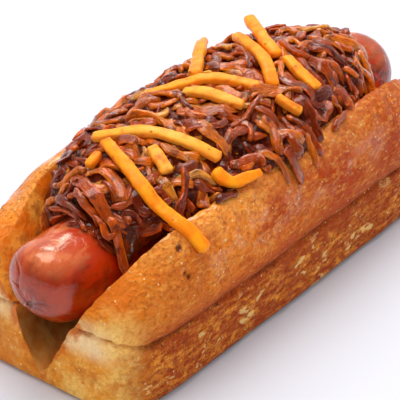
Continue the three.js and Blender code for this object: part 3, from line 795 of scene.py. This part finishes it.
def sausage_look(tree):
    """Mottled casing with a painted sheen along its back, smeared beside the onions, and with painted shade
    in the pleats.
    """
    where, x, _, z = place_on(tree)
    patch = grouped(patches, where, size=0.012, low=0.4, high=0.62)
    cloudy = grouped(patches, where, size=0.006, stretch=(2.2, 1, 1), low=0.36, high=0.6)
    sauce = grouped(patches, where, size=0.0032, stretch=(2.2, 1, 1), low=0.45, high=0.56)
    near_onions = stepped(maths("ABSOLUTE", x), 0.058, 0.07, 0.85, 0.3)
    fine = grouped(crinkles, where, size=0.0026, sharpness=0.5)
    shrunk = grouped(creases, where, size=0.006, stretch=(1.8, 1, 1), detail=2.0)
    skin = painted(
        laid(patch, (124, 17, 0), (168, 45, 2)),
        (stepped(x, 0.04, 0.062, 0.0, 0.8), (96, 8, 0), 1),
        # Painted sheen: paler along the top of the casing.
        (times(stepped(z, 0.035, 0.0415), scaled(cloudy, 0.6, 0.35)), (226, 124, 72), 1),
        (times(sauce, near_onions), (190, 42, 0), 1),
        # Painted shade in the pleats.
        (point_value(tree, "fold"), (88, 24, 10), 0.8),
    )
    return {
        "Base Color": skin,
        "Roughness": 0.17,
        "Normal": raised(scaled(shrunk, 0.5, fine), 0.6, 0.0005),
        "Specular IOR Level": 0.75,
        "Specular Tint": (1.0, 0.72, 0.54, 1.0),
        "Coat Weight": stepped(x, 0.04, 0.062, 0.45, 0.05),
        "Coat Roughness": 0.2,
        "Subsurface Weight": 0.06,
        "Subsurface Radius": (1.0, 0.3, 0.15),
        "Subsurface Scale": 0.002,
    }


points, faces = skin_over(sausage_rings(SAUSAGE_POINTS))
tip_middle = np.array([TIP_LENGTH - SAUSAGE_LENGTH / 2, 0, SAUSAGE_AXIS_Z])
drawn_in = pleats_on(points)
sausage = new_piece("frankfurter", points + drawn_in[:, None] * unit(tip_middle - points), faces)
# How far each point is drawn into a pleat, which the look turns into painted shade.
fold = sausage.data.attributes.new("fold", "FLOAT", "POINT")
fold.data.foreach_set("value", np.clip(drawn_in / 0.5, 0, 1))
sausage.data.materials.append(finish_with("sausage_casing", sausage_look))
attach(sausage, "root")
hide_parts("sausage")

# ---- Fried onions ------------------------------------------------------------------------------------
# Onions cut in strips and fried down until they are limp, brown and sticky, spooned along the slot in a
# heap. Most strips lie across the bun. The middle of the heap is a soft dark mass that hardly shows.

HEAP_FRONT_X = -56
HEAP_BACK_X = 60
HEAP_TOP_Z = 55
HEAP_WIDTH = 50
HEAP_FOOT_Z = 42.5
HEAP_END_FOOT_Z = 36
HEAP_FLOOR_Z = 34
HEAP_FLOOR_WIDTH = 26
HEAP_END_WIDTH = 27
HEAP_LEAN = 0.8
HEAP_SPILL = 5
HEAP_SPILL_X = 2
HEAP_SPILL_REACH = 13
HEAP_LUMP = 1.1
HEAP_WAVELENGTH = 15
# How far from its ends the heap has its full width, its full height and the full height of its foot.
HEAP_BROAD_FROM = 42
HEAP_HIGH_FROM = {"front": 48, "back": 44}
HEAP_FOOT_FROM = 12
HEAP_CREST = 0.68  # 0.5 is an oval section, more is more pointed
HEAP_RINGS = 200
HEAP_TOP_POINTS = 61  # over the heap, from one foot to the other
HEAP_UNDER_POINTS = 6
JUICE_TINT = (1.0, 0.84, 0.68, 1.0)  # of what shines in the sticky juices
STRIPS_DEEP = 3.6  # how thick the layer of strips is, over the soft middle
STRIPS_PROUD = 2.3  # how far it stands over the plain form of the heap


def heap_outline(x):
    """Points over the plain heap from one side to the other at a place along the bun."""
    from_end = min(x - HEAP_FRONT_X, HEAP_BACK_X - x)
    broad = math.sqrt(eased(0, HEAP_BROAD_FROM, from_end))
    in_front = eased(-10, HEAP_HIGH_FROM["front"], x - HEAP_FRONT_X)
    full = math.sqrt(in_front * eased(-10, HEAP_HIGH_FROM["back"], HEAP_BACK_X - x))
    half = (HEAP_END_WIDTH + (HEAP_WIDTH - HEAP_END_WIDTH) * broad) / 2
    foot = HEAP_END_FOOT_Z + (HEAP_FOOT_Z - HEAP_END_FOOT_Z) * eased(0, HEAP_FOOT_FROM, from_end)
    top = HEAP_FOOT_Z + (HEAP_TOP_Z - HEAP_FOOT_Z) * full
    ridge = HEAP_LEAN * full
    spill = HEAP_SPILL * math.exp(-(((x - HEAP_SPILL_X) / HEAP_SPILL_REACH) ** 2))
    across = np.cos(np.linspace(0, math.pi, HEAP_TOP_POINTS))
    y = ridge + half * across - np.where(across < 0, spill * across**4, 0)
    dome = (top - foot) * (1 - across**2) ** HEAP_CREST
    z = foot + np.maximum(dome + HEAP_LUMP * full * lumps(x, y, 0, HEAP_WAVELENGTH), 0)
    return y, z, ridge, half, foot


def heap_middle_rings(rows):
    """The soft middle: the plain heap less the layer of strips, and its foot down in the slot."""
    around = HEAP_TOP_POINTS + HEAP_UNDER_POINTS
    rings = []
    for x in np.linspace(HEAP_FRONT_X + 3.5, HEAP_BACK_X - 1.2, rows):
        y, z, ridge, half, foot = heap_outline(x)
        y = ridge + (y - ridge) * (1 - 1.6 / half)
        z = np.maximum(z - STRIPS_DEEP, foot - 2.5)
        floor = min(half, HEAP_FLOOR_WIDTH / 2)
        floor_z = min(HEAP_FLOOR_Z, foot - 3)
        under_y = [ridge - 0.9 * half, -floor, -floor / 2, floor / 2, floor, ridge + 0.9 * half]
        under_z = [foot - 4.5, floor_z, floor_z, floor_z, floor_z, foot - 4.5]
        outline = [np.full(around, x), np.concatenate([y, under_y]), np.concatenate([z, under_z])]
        rings.append(np.stack(outline, 1))
    return np.array(rings)


def onion_mass_look(tree):
    """Dark, sticky and wet."""
    where = place_on(tree)[0]
    patch = grouped(patches, where, size=0.004, low=0.42, high=0.62)
    fine = grouped(crinkles, where, size=0.0016, sharpness=0.55)
    return {
        "Base Color": laid(patch, (68, 9, 0), (122, 34, 3)),
        "Roughness": 0.14,
        "Normal": raised(fine, 1.0, 0.0012),
        "Specular IOR Level": 0.9,
        "Specular Tint": JUICE_TINT,
        "Coat Weight": 0.3,
        "Coat Roughness": 0.05,
    }


points, faces = skin_over(heap_middle_rings(HEAP_RINGS))
points[:, 2] += 0.5 * ripples(points, 6, 51) + 0.35 * ripples(points, 3, 52)
onion_middle = new_piece("onion_middle", points, faces)
onion_middle.data.materials.append(finish_with("onion_mass", onion_mass_look))
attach(onion_middle, "root")
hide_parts("onions")

# What the strips are laid on: heights over the table on a fine grid, and how high they may be piled.
GRID = 0.5
grid_x = np.arange(HEAP_FRONT_X - 9, HEAP_BACK_X + 9, GRID)
grid_y = np.arange(-33, 33 + GRID, GRID)
HIGH_Z = 90  # over everything
LOW_Z = 30  # under the cheese
STRIP_STEP = 1.1  # between the points of a strip's middle line
STRIP_REACH = 2.5  # how far to the side of its middle line a strip can cover the grid
STRIP_TRACKS = (-0.32, 0, 0.32)  # where a strip touches the pile, in shares of its width
MOST_PROUD = 0.9  # the share of its thickness by which a strip may pass the ceiling, at most
MEAN_PROUD = 0.35  # and on the whole
BRIM_DEEP = 2.2  # how high strips that fall beside the heap may lie on the bun
STEEPEST_LIE = 1.5  # the slope on which a limp strip still lies
CHEESE_SUNK = 0.15  # how far the cheese may be sunk in the strips
OPEN_SKY = 99  # higher than anything


def seen_from(pieces, start_z, towards):
    """The height of the first of some pieces met when going straight down or up from a height."""
    bpy.context.view_layer.update()
    shapes = bpy.context.evaluated_depsgraph_get()
    trees = [BVHTree.FromObject(piece, shapes) for piece in pieces]
    heights = np.full((len(grid_x), len(grid_y)), np.nan)
    way = Vector((0, 0, towards))
    for i, x in enumerate(grid_x):
        for j, y in enumerate(grid_y):
            start = Vector((x, y, start_z)) * MM
            found = [hit.z / MM for hit in (tree.ray_cast(start, way)[0] for tree in trees) if hit]
            if found:
                heights[i, j] = max(found) if towards < 0 else min(found)
    return heights


def neighbours(table, **padding):
    """The values on the four sides of every cell of a table."""
    padded = np.pad(table, 1, **padding)
    return padded[:-2, 1:-1], padded[2:, 1:-1], padded[1:-1, :-2], padded[1:-1, 2:]


def softened(heights, rounds):
    """A table of heights with its bumps and hollows evened out."""
    for _ in range(rounds):
        heights = (sum(neighbours(heights, mode="edge")) + 2 * heights) / 6
    return heights


def grown(mask, rounds):
    """A mask of cells, widened by a cell in each round."""
    for _ in range(rounds):
        mask = np.logical_or.reduce([mask, *neighbours(mask)])
    return mask


pile = seen_from([bun, sausage, onion_middle], HIGH_Z, -1)
pile = np.where(np.isnan(pile), 0, pile)
plain_heap = np.full_like(pile, np.nan)
for i, x in enumerate(grid_x):
    if HEAP_FRONT_X < x < HEAP_BACK_X:
        y, z, *_ = heap_outline(x)
        plain_heap[i] = np.interp(grid_y, y[::-1], z[::-1], left=np.nan, right=np.nan)
on_heap = ~np.isnan(plain_heap)
# How high the strips may be piled on the heap and on its brim, and -1 where none may lie.
spots = np.stack([*np.meshgrid(grid_x, grid_y, indexing="ij"), np.zeros(pile.shape)], -1)
uneven = ripples(spots.reshape(-1, 3), 9, 53).reshape(pile.shape)
ceiling = np.where(on_heap, plain_heap + STRIPS_PROUD + 1.3 * np.minimum(uneven, 0.4), -1)
brim = grown(on_heap, 4) & ~on_heap
ceiling = np.where(brim, pile + BRIM_DEEP, ceiling)
# Under the cheese, and beside it, nothing may stand higher than the cheese.
cheese_solids = [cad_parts[name] for name in sorted(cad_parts) if name.startswith("cheese")]
cheese_above = seen_from(cheese_solids, LOW_Z, 1)
cheese_above = np.where(np.isnan(cheese_above), OPEN_SKY, cheese_above)
for _ in range(2):
    beside = neighbours(cheese_above, constant_values=OPEN_SKY)
    cheese_above = np.minimum.reduce([*beside, cheese_above])
ceiling = np.where(cheese_above < OPEN_SKY, np.minimum(ceiling, cheese_above + CHEESE_SUNK), ceiling)
# The slope that the strips lie on.
slope_x, slope_y = np.gradient(softened(np.maximum(pile, HEAP_FLOOR_Z), 14), GRID)
too_steep = np.maximum(np.hypot(slope_x, slope_y) / STEEPEST_LIE, 1)
slope_x, slope_y = slope_x / too_steep, slope_y / too_steep


def looked_up(table, x, y):
    """The values of a table in the cells nearest to some places."""
    i = np.clip(np.round((x - grid_x[0]) / GRID).astype(int), 0, len(grid_x) - 1)
    j = np.clip(np.round((y - grid_y[0]) / GRID).astype(int), 0, len(grid_y) - 1)
    return table[i, j]


def across_line(line, ups):
    """Which way is sideways and which is upwards at each point of a line, square to the line."""
    ahead = unit(np.gradient(line, axis=0))
    side = unit(np.cross(ups, ahead))
    return side, np.cross(ahead, side)


def evened(row):
    """The inner values of a row, each evened out with the two beside it."""
    return 0.25 * (row[:-2] + 2 * row[1:-1] + row[2:])


def strip_on_pile(random, start, heading, length, bend, width, thick):
    """The middle line of a limp strip laid on the pile, or None where it would stand too high."""
    steps = max(int(length / STRIP_STEP), 6)
    along = np.linspace(-0.5, 0.5, steps)
    sway = random.uniform(-0.5, 0.5) * np.sin(2 * math.pi * along + random.uniform(0, 6.3))
    turn = heading + bend * along + sway
    dx, dy = np.cos(turn), np.sin(turn)
    lean = looked_up(slope_x, *start) * dx + looked_up(slope_y, *start) * dy
    shorter = 1 / np.sqrt(1 + lean**2)
    x = np.cumsum(dx * shorter) * length / steps
    y = np.cumsum(dy * shorter) * length / steps
    x += start[0] - x[steps // 2]
    y += start[1] - y[steps // 2]
    if x.min() < grid_x[1] or x.max() > grid_x[-2] or y.min() < grid_y[1] or y.max() > grid_y[-2]:
        return None
    top = looked_up(ceiling, x, y)
    if top.min() < 0:
        return None
    sx, sy = looked_up(slope_x, x, y), looked_up(slope_y, x, y)
    ups = np.stack([-sx, -sy, np.ones(steps)], 1)
    rise = np.sqrt(1 + sx**2 + sy**2)
    ups /= rise[:, None]
    side_x, side_y = -np.sin(turn), np.cos(turn)
    tracks = [(x + side_x * share * width, y + side_y * share * width) for share in STRIP_TRACKS]
    under = np.max([looked_up(pile, *track) for track in tracks], axis=0)
    z = under + 0.42 * thick * rise
    for _ in range(3):
        z[1:-1] = np.maximum(evened(z), under[1:-1] + 0.1 * thick)
    over = z + 0.5 * thick * rise - top
    if over.max() > MOST_PROUD * thick or over.mean() > MEAN_PROUD * thick:
        return None
    z -= np.maximum(over, 0)
    for _ in range(2):
        z[1:-1] = evened(z)
    return np.stack([x, y, z], 1), ups, rise


def cells_near(place, grid):
    """The cells of a grid that a strip over a place can cover."""
    first = int((place - STRIP_REACH - grid[0]) / GRID)
    return slice(max(first, 0), int((place + STRIP_REACH - grid[0]) / GRID) + 1)


def add_to_pile(line, rise, width, thick):
    """Raises the pile to the top of a strip that has been laid on it."""
    for (x, y, z), lift in zip(line, rise):
        near = cells_near(x, grid_x), cells_near(y, grid_y)
        gx, gy = np.meshgrid(grid_x[near[0]], grid_y[near[1]], indexing="ij")
        off = np.hypot(gx - x, gy - y) / (0.5 * width)
        crown = z + 0.5 * thick * lift * np.sqrt(np.clip(1 - off**2, 0, 1))
        pile[near] = np.where(off < 1, np.maximum(pile[near], crown), pile[near])


def onion_strip(random, line, ups, width, thick):
    """The skin of one strip: a shallow trough in section, ridged along its fibres, thin at its ends.

    With it go the place of each point across and along the strip, and how near it is to an edge.
    """
    steps = len(line)
    along = np.cumsum(np.linalg.norm(np.gradient(line, axis=0), axis=1))
    side, over = across_line(line, ups)
    twist = (random.normal(0, 0.3) + random.normal(0, 0.55) * np.linspace(-1, 1, steps))[:, None]
    flat = side * np.cos(twist) + over * np.sin(twist)
    over = over * np.cos(twist) - side * np.sin(twist)
    angle = (np.arange(STRIP_SIDES) + 0.5) * 2 * math.pi / STRIP_SIDES
    across = squared(np.cos(angle), 0.85)
    from_end = np.minimum(along - along[0], along[-1] - along)
    narrow = np.sqrt(np.clip(0.3 + from_end / random.uniform(0.8, 2.4), 0, 1))
    uneven = random.uniform(0.05, 0.2) * np.sin(along * random.uniform(0.5, 1.3) + random.uniform(0, 6))
    narrow = narrow * (1 + uneven)
    half = (0.5 * width * narrow)[:, None]
    thinned = np.minimum(narrow, 1)[:, None]
    fibres = random.uniform(1.5, 3.5) * math.pi * across + random.uniform(0, 6)
    fibres = fibres + 0.5 * np.sin(0.7 * along)[:, None]
    body = 0.5 * thick * thinned * np.sin(angle)
    ridges = 0.09 * thick * np.cos(fibres) * np.sign(np.sin(angle)) * thinned
    trough = random.choice([-0.26, -0.1, 0.22]) * half * across**2
    out_sideways = flat[:, None] * (half * across)[..., None]
    rings = line[:, None] + out_sideways + over[:, None] * (body + ridges + trough)[..., None]
    marks = np.stack(np.broadcast_arrays(half * across, along[:, None], random.uniform(0, 400)), -1)
    return rings, marks * MM, np.broadcast_to(across**2, half.shape[:1] + across.shape)


# The kinds of strip: share on top, share by the foot of the heap, range of widths, range of thicknesses.
STRIP_KINDS = {
    "onion_strips_amber": (0.46, 0.42, (1.8, 4.0), (1.2, 1.9)),
    "onion_strips_brown": (0.31, 0.35, (1.6, 3.7), (1.2, 1.9)),
    "onion_strips_dark": (0.14, 0.2, (1.4, 3.4), (1.0, 1.7)),
    "onion_strips_pale": (0.09, 0.03, (1.9, 3.8), (1.2, 1.8)),
}
STRIP_SIDES = 12
STRIP_TRIES = 11000
TRIES_TOGETHER = 40  # that choose their places by the same look at the pile
FOOT_BELOW_Z = 48
JUICES_DOWN = 1.3  # from the top of the layer to the juices between the strips

strips = {kind: [] for kind in STRIP_KINDS}
random = np.random.default_rng(8)
kinds = list(STRIP_KINDS)
shares = [[STRIP_KINDS[kind][by_foot] for kind in kinds] for by_foot in (0, 1)]
places = np.argwhere(ceiling > 0)
for attempt in range(STRIP_TRIES):
    if attempt % TRIES_TOGETHER == 0:
        room = np.clip((ceiling - pile)[tuple(places.T)] - 0.2, 0.02, 4) ** 1.5
        picks = places[random.choice(len(places), TRIES_TOGETHER, p=room / room.sum())]
    i, j = picks[attempt % TRIES_TOGETHER]
    by_foot = int(not plain_heap[i, j] > FOOT_BELOW_Z)
    kind = kinds[random.choice(len(kinds), p=shares[by_foot])]
    width, thick = [random.uniform(*span) for span in STRIP_KINDS[kind][2:]]
    heading = random.normal(-1.2, 0.55) if random.random() < 0.75 else random.uniform(-3.1, 0)
    length = random.choice([1.0, 0.75, 0.5], p=[0.5, 0.35, 0.15]) * random.uniform(13, 26)
    bend = random.normal(0, 0.8) if random.random() < 0.8 else random.normal(0, 2.2)
    laid_strip = strip_on_pile(random, (grid_x[i], grid_y[j]), heading, length, bend, width, thick)
    if laid_strip is None:
        continue
    line, ups, rise = laid_strip
    strips[kind].append((*onion_strip(random, line, ups, width, thick), random.random()))
    add_to_pile(line, rise, width, thick)

# The soft middle is raised to where the sticky juices stand between the strips.
points, _ = points_of(onion_middle.data)
full = looked_up(softened(pile, 4), points[:, 0], points[:, 1]) - JUICES_DOWN
on_top = np.arange(len(points)) % (HEAP_TOP_POINTS + HEAP_UNDER_POINTS) < HEAP_TOP_POINTS
risen = np.maximum(points[:, 2], full + 0.3 * ripples(points, 2.6, 54))
points[:, 2] = np.where(on_top, risen, points[:, 2])
onion_middle.data.vertices.foreach_set("co", (points * MM).ravel())
onion_middle.data.update()


def joined(name, parts, look):
    """A mesh of many strips. Its points carry their place on a strip, its shade and how near an edge is."""
    skins = []
    all_faces = []
    start = 0
    for rings, marks, rim, shade in parts:
        points, faces = skin_over(rings)
        outward = points - np.repeat(rings.mean(1), rings.shape[1], axis=0)
        outward = outward / np.maximum(np.linalg.norm(outward, axis=1), 1e-6)[:, None]
        uneven = 0.14 * ripples(points, 2.6, 61) + 0.09 * ripples(points, 1.2, 62)
        points = points + outward * uneven[:, None]
        skins.append((points, marks.reshape(-1, 3), rim.ravel(), np.full(len(points), shade)))
        all_faces += [[start + corner for corner in face] for face in faces]
        start += len(points)
    points, *carried = (np.concatenate(part) for part in zip(*skins))
    piece = new_piece(name, points, all_faces)
    fields = (("place", "FLOAT_VECTOR", "vector"), ("rim", "FLOAT", "value"), ("shade", "FLOAT", "value"))
    for (label, kind, field), values in zip(fields, carried):
        piece.data.attributes.new(label, kind, "POINT").data.foreach_set(field, values.ravel())
    piece.data.materials.append(look)
    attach(piece, "root")
    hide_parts("onions")


def onion_look(darkest, middle, lightest, clearness, gloss):
    """The look of one kind of strip: streaked along its fibres, lighter at its edges, burnt in places."""

    def look(tree):
        place = point_value(tree, "place", "Vector")
        along = grouped(patches, place, size=0.005, stretch=(1, 1.6, 1), low=0.4, high=0.6)
        fibres = grouped(patches, place, size=0.0005, stretch=(1, 7, 1), low=0.42, high=0.62)
        fine = grouped(crinkles, place, size=0.0013, stretch=(1, 2.6, 1), sharpness=0.55)
        skin = painted(
            laid(along, darkest, middle),
            (point_value(tree, "shade"), lightest, 0.5),
            (stepped(point_value(tree, "rim"), 0.45, 0.95), lightest, 0.55),
            (fibres, darkest, 0.4),
            (grouped(patches, place, size=0.0035, low=0.56, high=0.68), (74, 10, 0), 0.7),
        )
        return {
            "Base Color": skin,
            "Roughness": 0.13,
            "Normal": raised(maths("ADD", fine, times(fibres, 0.2)), 1.0, 0.001),
            "Specular IOR Level": gloss,
            "Specular Tint": JUICE_TINT,
            "Coat Weight": 0.7,
            "Coat Roughness": 0.09,
            "Subsurface Weight": clearness,
            "Subsurface Radius": (1.0, 0.35, 0.1),
            "Subsurface Scale": 0.0025,
        }

    return look


# The colours of each kind, from the darkest to the lightest, then how clear and how glossy it is.
STRIP_LOOKS = {
    "onion_strips_amber": ((142, 40, 0), (214, 88, 0), (255, 146, 24), 0.4, 0.8),
    "onion_strips_brown": ((108, 20, 0), (156, 46, 0), (226, 98, 2), 0.3, 0.7),
    "onion_strips_dark": ((72, 8, 0), (106, 22, 0), (172, 58, 2), 0.15, 0.5),
    "onion_strips_pale": ((176, 80, 10), (226, 136, 36), (252, 182, 74), 0.45, 0.8),
}
for kind in kinds:
    joined(kind, strips[kind], finish_with(kind + "_look", onion_look(*STRIP_LOOKS[kind])))

# ---- Cheese strips -----------------------------------------------------------------------------------
# Orange-yellow cheese from a coarse grater, scattered on last: soft bars with rounded edges and torn
# ends, a little sunk in the onions and in places stained by them.

SHRED_WIDTH = 3.7
SHRED_THICKNESS = 2.4
# Where each strip lies in plan: one end, the middle and the other end. Then how far the first end is
# lifted, how wide the first end, the body and the last end are, how stained it is and how pale.
SHREDS = {
    "cheese_01": ([(-35.6, 7.4), (-43.8, -13.4), (-41.6, -29.9)], 0, (0.85, 1.0, 1.04), 0.1, 0.1),
    "cheese_02": ([(-33.3, 13.4), (-25.7, 0.6), (-19.6, -17.4)], 0, (0.8, 1.0, 0.9), 0.25, 0.75),
    "cheese_03": ([(-30.3, -3.3), (-32.1, -7.8), (-33.8, -11.6)], 0, (0.85, 1.0, 1.0), 0.6, 0.7),
    "cheese_04": ([(-10.3, 13.9), (3.6, 4.2), (9.6, -8.6)], 0, (0.7, 0.9, 0.95), 0.4, 0.35),
    "cheese_05": ([(-5.4, 5.4), (-2.4, -1.4), (-0.3, -10.7)], 0, (0.9, 0.95, 0.6), 0.35, 0.8),
    "cheese_06": ([(24.1, 19.9), (14.6, 15), (3.4, 8.1)], 3, (0.9, 1.0, 1.05), 0.15, 0.4),
    "cheese_07": ([(30.7, 14.9), (22.5, 0.8), (12.4, -10.4)], 1.5, (0.8, 1.0, 1.0), 0.2, 0.15),
    "cheese_08": ([(38, 14.9), (30.8, 5.6), (26.3, -1.6)], 5, (0.95, 1.0, 1.0), 0.1, 0.2),
    "cheese_09": ([(27.3, -4), (25.2, -9.6), (23.7, -17.2)], 0, (0.9, 0.95, 0.9), 0.55, 0.25),
    "cheese_10": ([(-23.9, -18.4), (-22, -23.2), (-12.4, -24.8)], 0, (1.0, 0.85, 0.6), 0.15, 0.1),
    "cheese_11": ([(10.6, -13), (10.7, -17.2), (12.2, -20.2)], 0, (0.55, 0.6, 0.55), 0.7, 0.5),
    "cheese_12": ([(-38.6, 6.8), (-40.9, 6.4), (-43.6, 6.4)], 0, (0.65, 0.68, 0.6), 0.5, 0.2),
}
SHRED_POINTS = 9  # that carry a strip, from end to end
SHRED_RINGS = 57
SHRED_SIDES = 28
SHRED_SQUARE = 3.4  # 2 is an oval section, more is squarer
SHRED_CLEAR = 0.15  # over what the strip lies on
ROUNDED_END = 0.7
SLOPE_REACH = 1.6
STEEPEST = 1.2


def between_cells(table, x, y):
    """The value of a table of heights between its grid points."""
    i = (np.asarray(x) - grid_x[0]) / GRID
    j = (np.asarray(y) - grid_y[0]) / GRID
    i0, j0 = np.floor(i).astype(int), np.floor(j).astype(int)
    u, v = i - i0, j - j0
    low = table[i0, j0] * (1 - v) + table[i0, j0 + 1] * v
    high = table[i0 + 1, j0] * (1 - v) + table[i0 + 1, j0 + 1] * v
    return low * (1 - u) + high * u


def bend_through(first, middle, last, count):
    """Evenly spaced points on a smooth bend through three."""
    first, middle, last = (np.array(place, float) for place in (first, middle, last))
    t = np.linspace(0, 1, 41)[:, None]
    turn = (last - first) / 2
    legs = []
    for a, b, out, into in ((first, middle, middle - first, turn), (middle, last, turn, last - middle)):
        start = (1 + 2 * t) * (1 - t) ** 2 * a + t * (1 - t) ** 2 * out
        legs.append(start + t * t * (3 - 2 * t) * b - t * t * (1 - t) * into)
    fine = np.concatenate([legs[0], legs[1][1:]])
    along = far_along(fine)
    wanted = np.linspace(0, along[-1], count)
    return np.interp(wanted, along, fine[:, 0]), np.interp(wanted, along, fine[:, 1])


carrying = np.fmax(seen_from([bun], HIGH_Z, -1), plain_heap)
carrying = np.where(np.isnan(carrying), 0, carrying)


def cheese_look(stain, paleness):
    """The look of one strip, more or less stained by the onions and more or less pale."""

    def look(tree):
        where = place_on(tree)[0]
        uneven = grouped(patches, where, size=0.004, low=0.38, high=0.62)
        soaked = {"low": 0.62 - 0.2 * stain, "high": 0.8 - 0.15 * stain}
        crumbs = grouped(specks, where, spacing=0.003, width=0.2, share=0.12 + 0.3 * stain)
        fine = grouped(crinkles, where, size=0.0016, sharpness=0.5)
        body = painted(
            laid(uneven, (253, 127, 0), (254, 152, 2)),
            (scaled(uneven, 0.35 * paleness, 0.65 * paleness), (253, 182, 74), 0.8),
            (grouped(patches, where, size=0.0035, **soaked), (196, 92, 22), 0.8),
            (crumbs, (150, 64, 18), 0.75),
        )
        return {
            "Base Color": body,
            "Roughness": 0.35,
            "Normal": raised(fine, 0.35, 0.0004),
            "Specular IOR Level": 0.32,
            "Specular Tint": (1.0, 0.74, 0.36, 1.0),
            "Subsurface Weight": 0.3,
            "Subsurface Radius": (1.0, 0.55, 0.12),
            "Subsurface Scale": 0.0018,
        }

    return look


def slope_at(x, y, step_x, step_y):
    """How much the ground rises over a step along or across, at most as much as a strip can follow."""
    rise = between_cells(carrying, x + step_x, y + step_y) - between_cells(carrying, x - step_x, y - step_y)
    return np.clip(rise / (2 * SLOPE_REACH), -STEEPEST, STEEPEST)


def swept(line, ups, half_width, half_thick):
    """A bar with rounded edges along a line, flat side up."""
    side, over = across_line(line, ups)
    angle = (np.arange(SHRED_SIDES) + 0.5) * 2 * math.pi / SHRED_SIDES
    across = squared(np.cos(angle), 2 / SHRED_SQUARE)
    upwards = squared(np.sin(angle), 2 / SHRED_SQUARE)
    out_sideways = side[:, None] * (across * half_width[:, None])[..., None]
    return line[:, None] + out_sideways + over[:, None] * (upwards * half_thick[:, None])[..., None]


for name, (places, lift, (first_end, body, last_end), stain, paleness) in SHREDS.items():
    # A line over what the strip lies on, a little stiffer than that, with its first end lifted.
    last = SHRED_POINTS - 1
    x, y = bend_through(*places, SHRED_POINTS)
    ground = between_cells(carrying, x, y)
    slope_along = slope_at(x, y, SLOPE_REACH, 0)
    slope_across = slope_at(x, y, 0, SLOPE_REACH)
    ups = unit(np.stack([-slope_along, -slope_across, np.ones(SHRED_POINTS)], 1))
    over = 0.5 * SHRED_THICKNESS + SHRED_CLEAR + lift * (1 - np.arange(SHRED_POINTS) / last) ** 2
    line = np.stack([x, y, ground], 1) + ups * over[:, None]
    lying = line[:, 2].copy()
    for _ in range(2):
        for rows in (line, ups):
            rows[1:-1] = evened(rows)
    line[:, 2] = np.maximum(line[:, 2], lying)
    line[1:-1, 2] = evened(line[:, 2])
    at = np.linspace(0, last, SHRED_RINGS)
    line = curve_through(np.arange(float(SHRED_POINTS)), line, at)
    ups = curve_through(np.arange(float(SHRED_POINTS)), ups, at)
    # A bar along the line, rounded at its ends, uneven, and as high as the solid of the part.
    width = np.interp(at, [0, 3, 6, last], [first_end, body, body, last_end])
    from_end = np.minimum(at, last - at) * np.linalg.norm(np.diff(line, axis=0), axis=1).sum() / last
    rounded = np.sqrt(np.clip(1 - (1 - np.clip(from_end / ROUNDED_END, 0, 1)) ** 2, 0.09, 1))
    half_width = 0.5 * SHRED_WIDTH * width * rounded
    rings = swept(line, ups, half_width, 0.5 * SHRED_THICKNESS * rounded)
    seed = int(name[-2:])
    skin = rings.reshape(-1, 3)
    uneven = 0.14 * ripples(skin, 6, 70 + seed) + 0.05 * ripples(skin, 1.6, 90 + seed)
    rings += unit(rings - line[:, None]) * uneven.reshape(rings.shape[:2])[..., None]
    rings[..., 2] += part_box(name)[1].z / MM - rings[..., 2].max()
    points, faces = skin_over(rings)
    strip = new_piece(name.replace("cheese", "cheese_strip"), points, faces)
    strip.data.materials.append(finish_with("grated_" + name, cheese_look(stain, paleness)))
    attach(strip, "root")
    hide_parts(name)
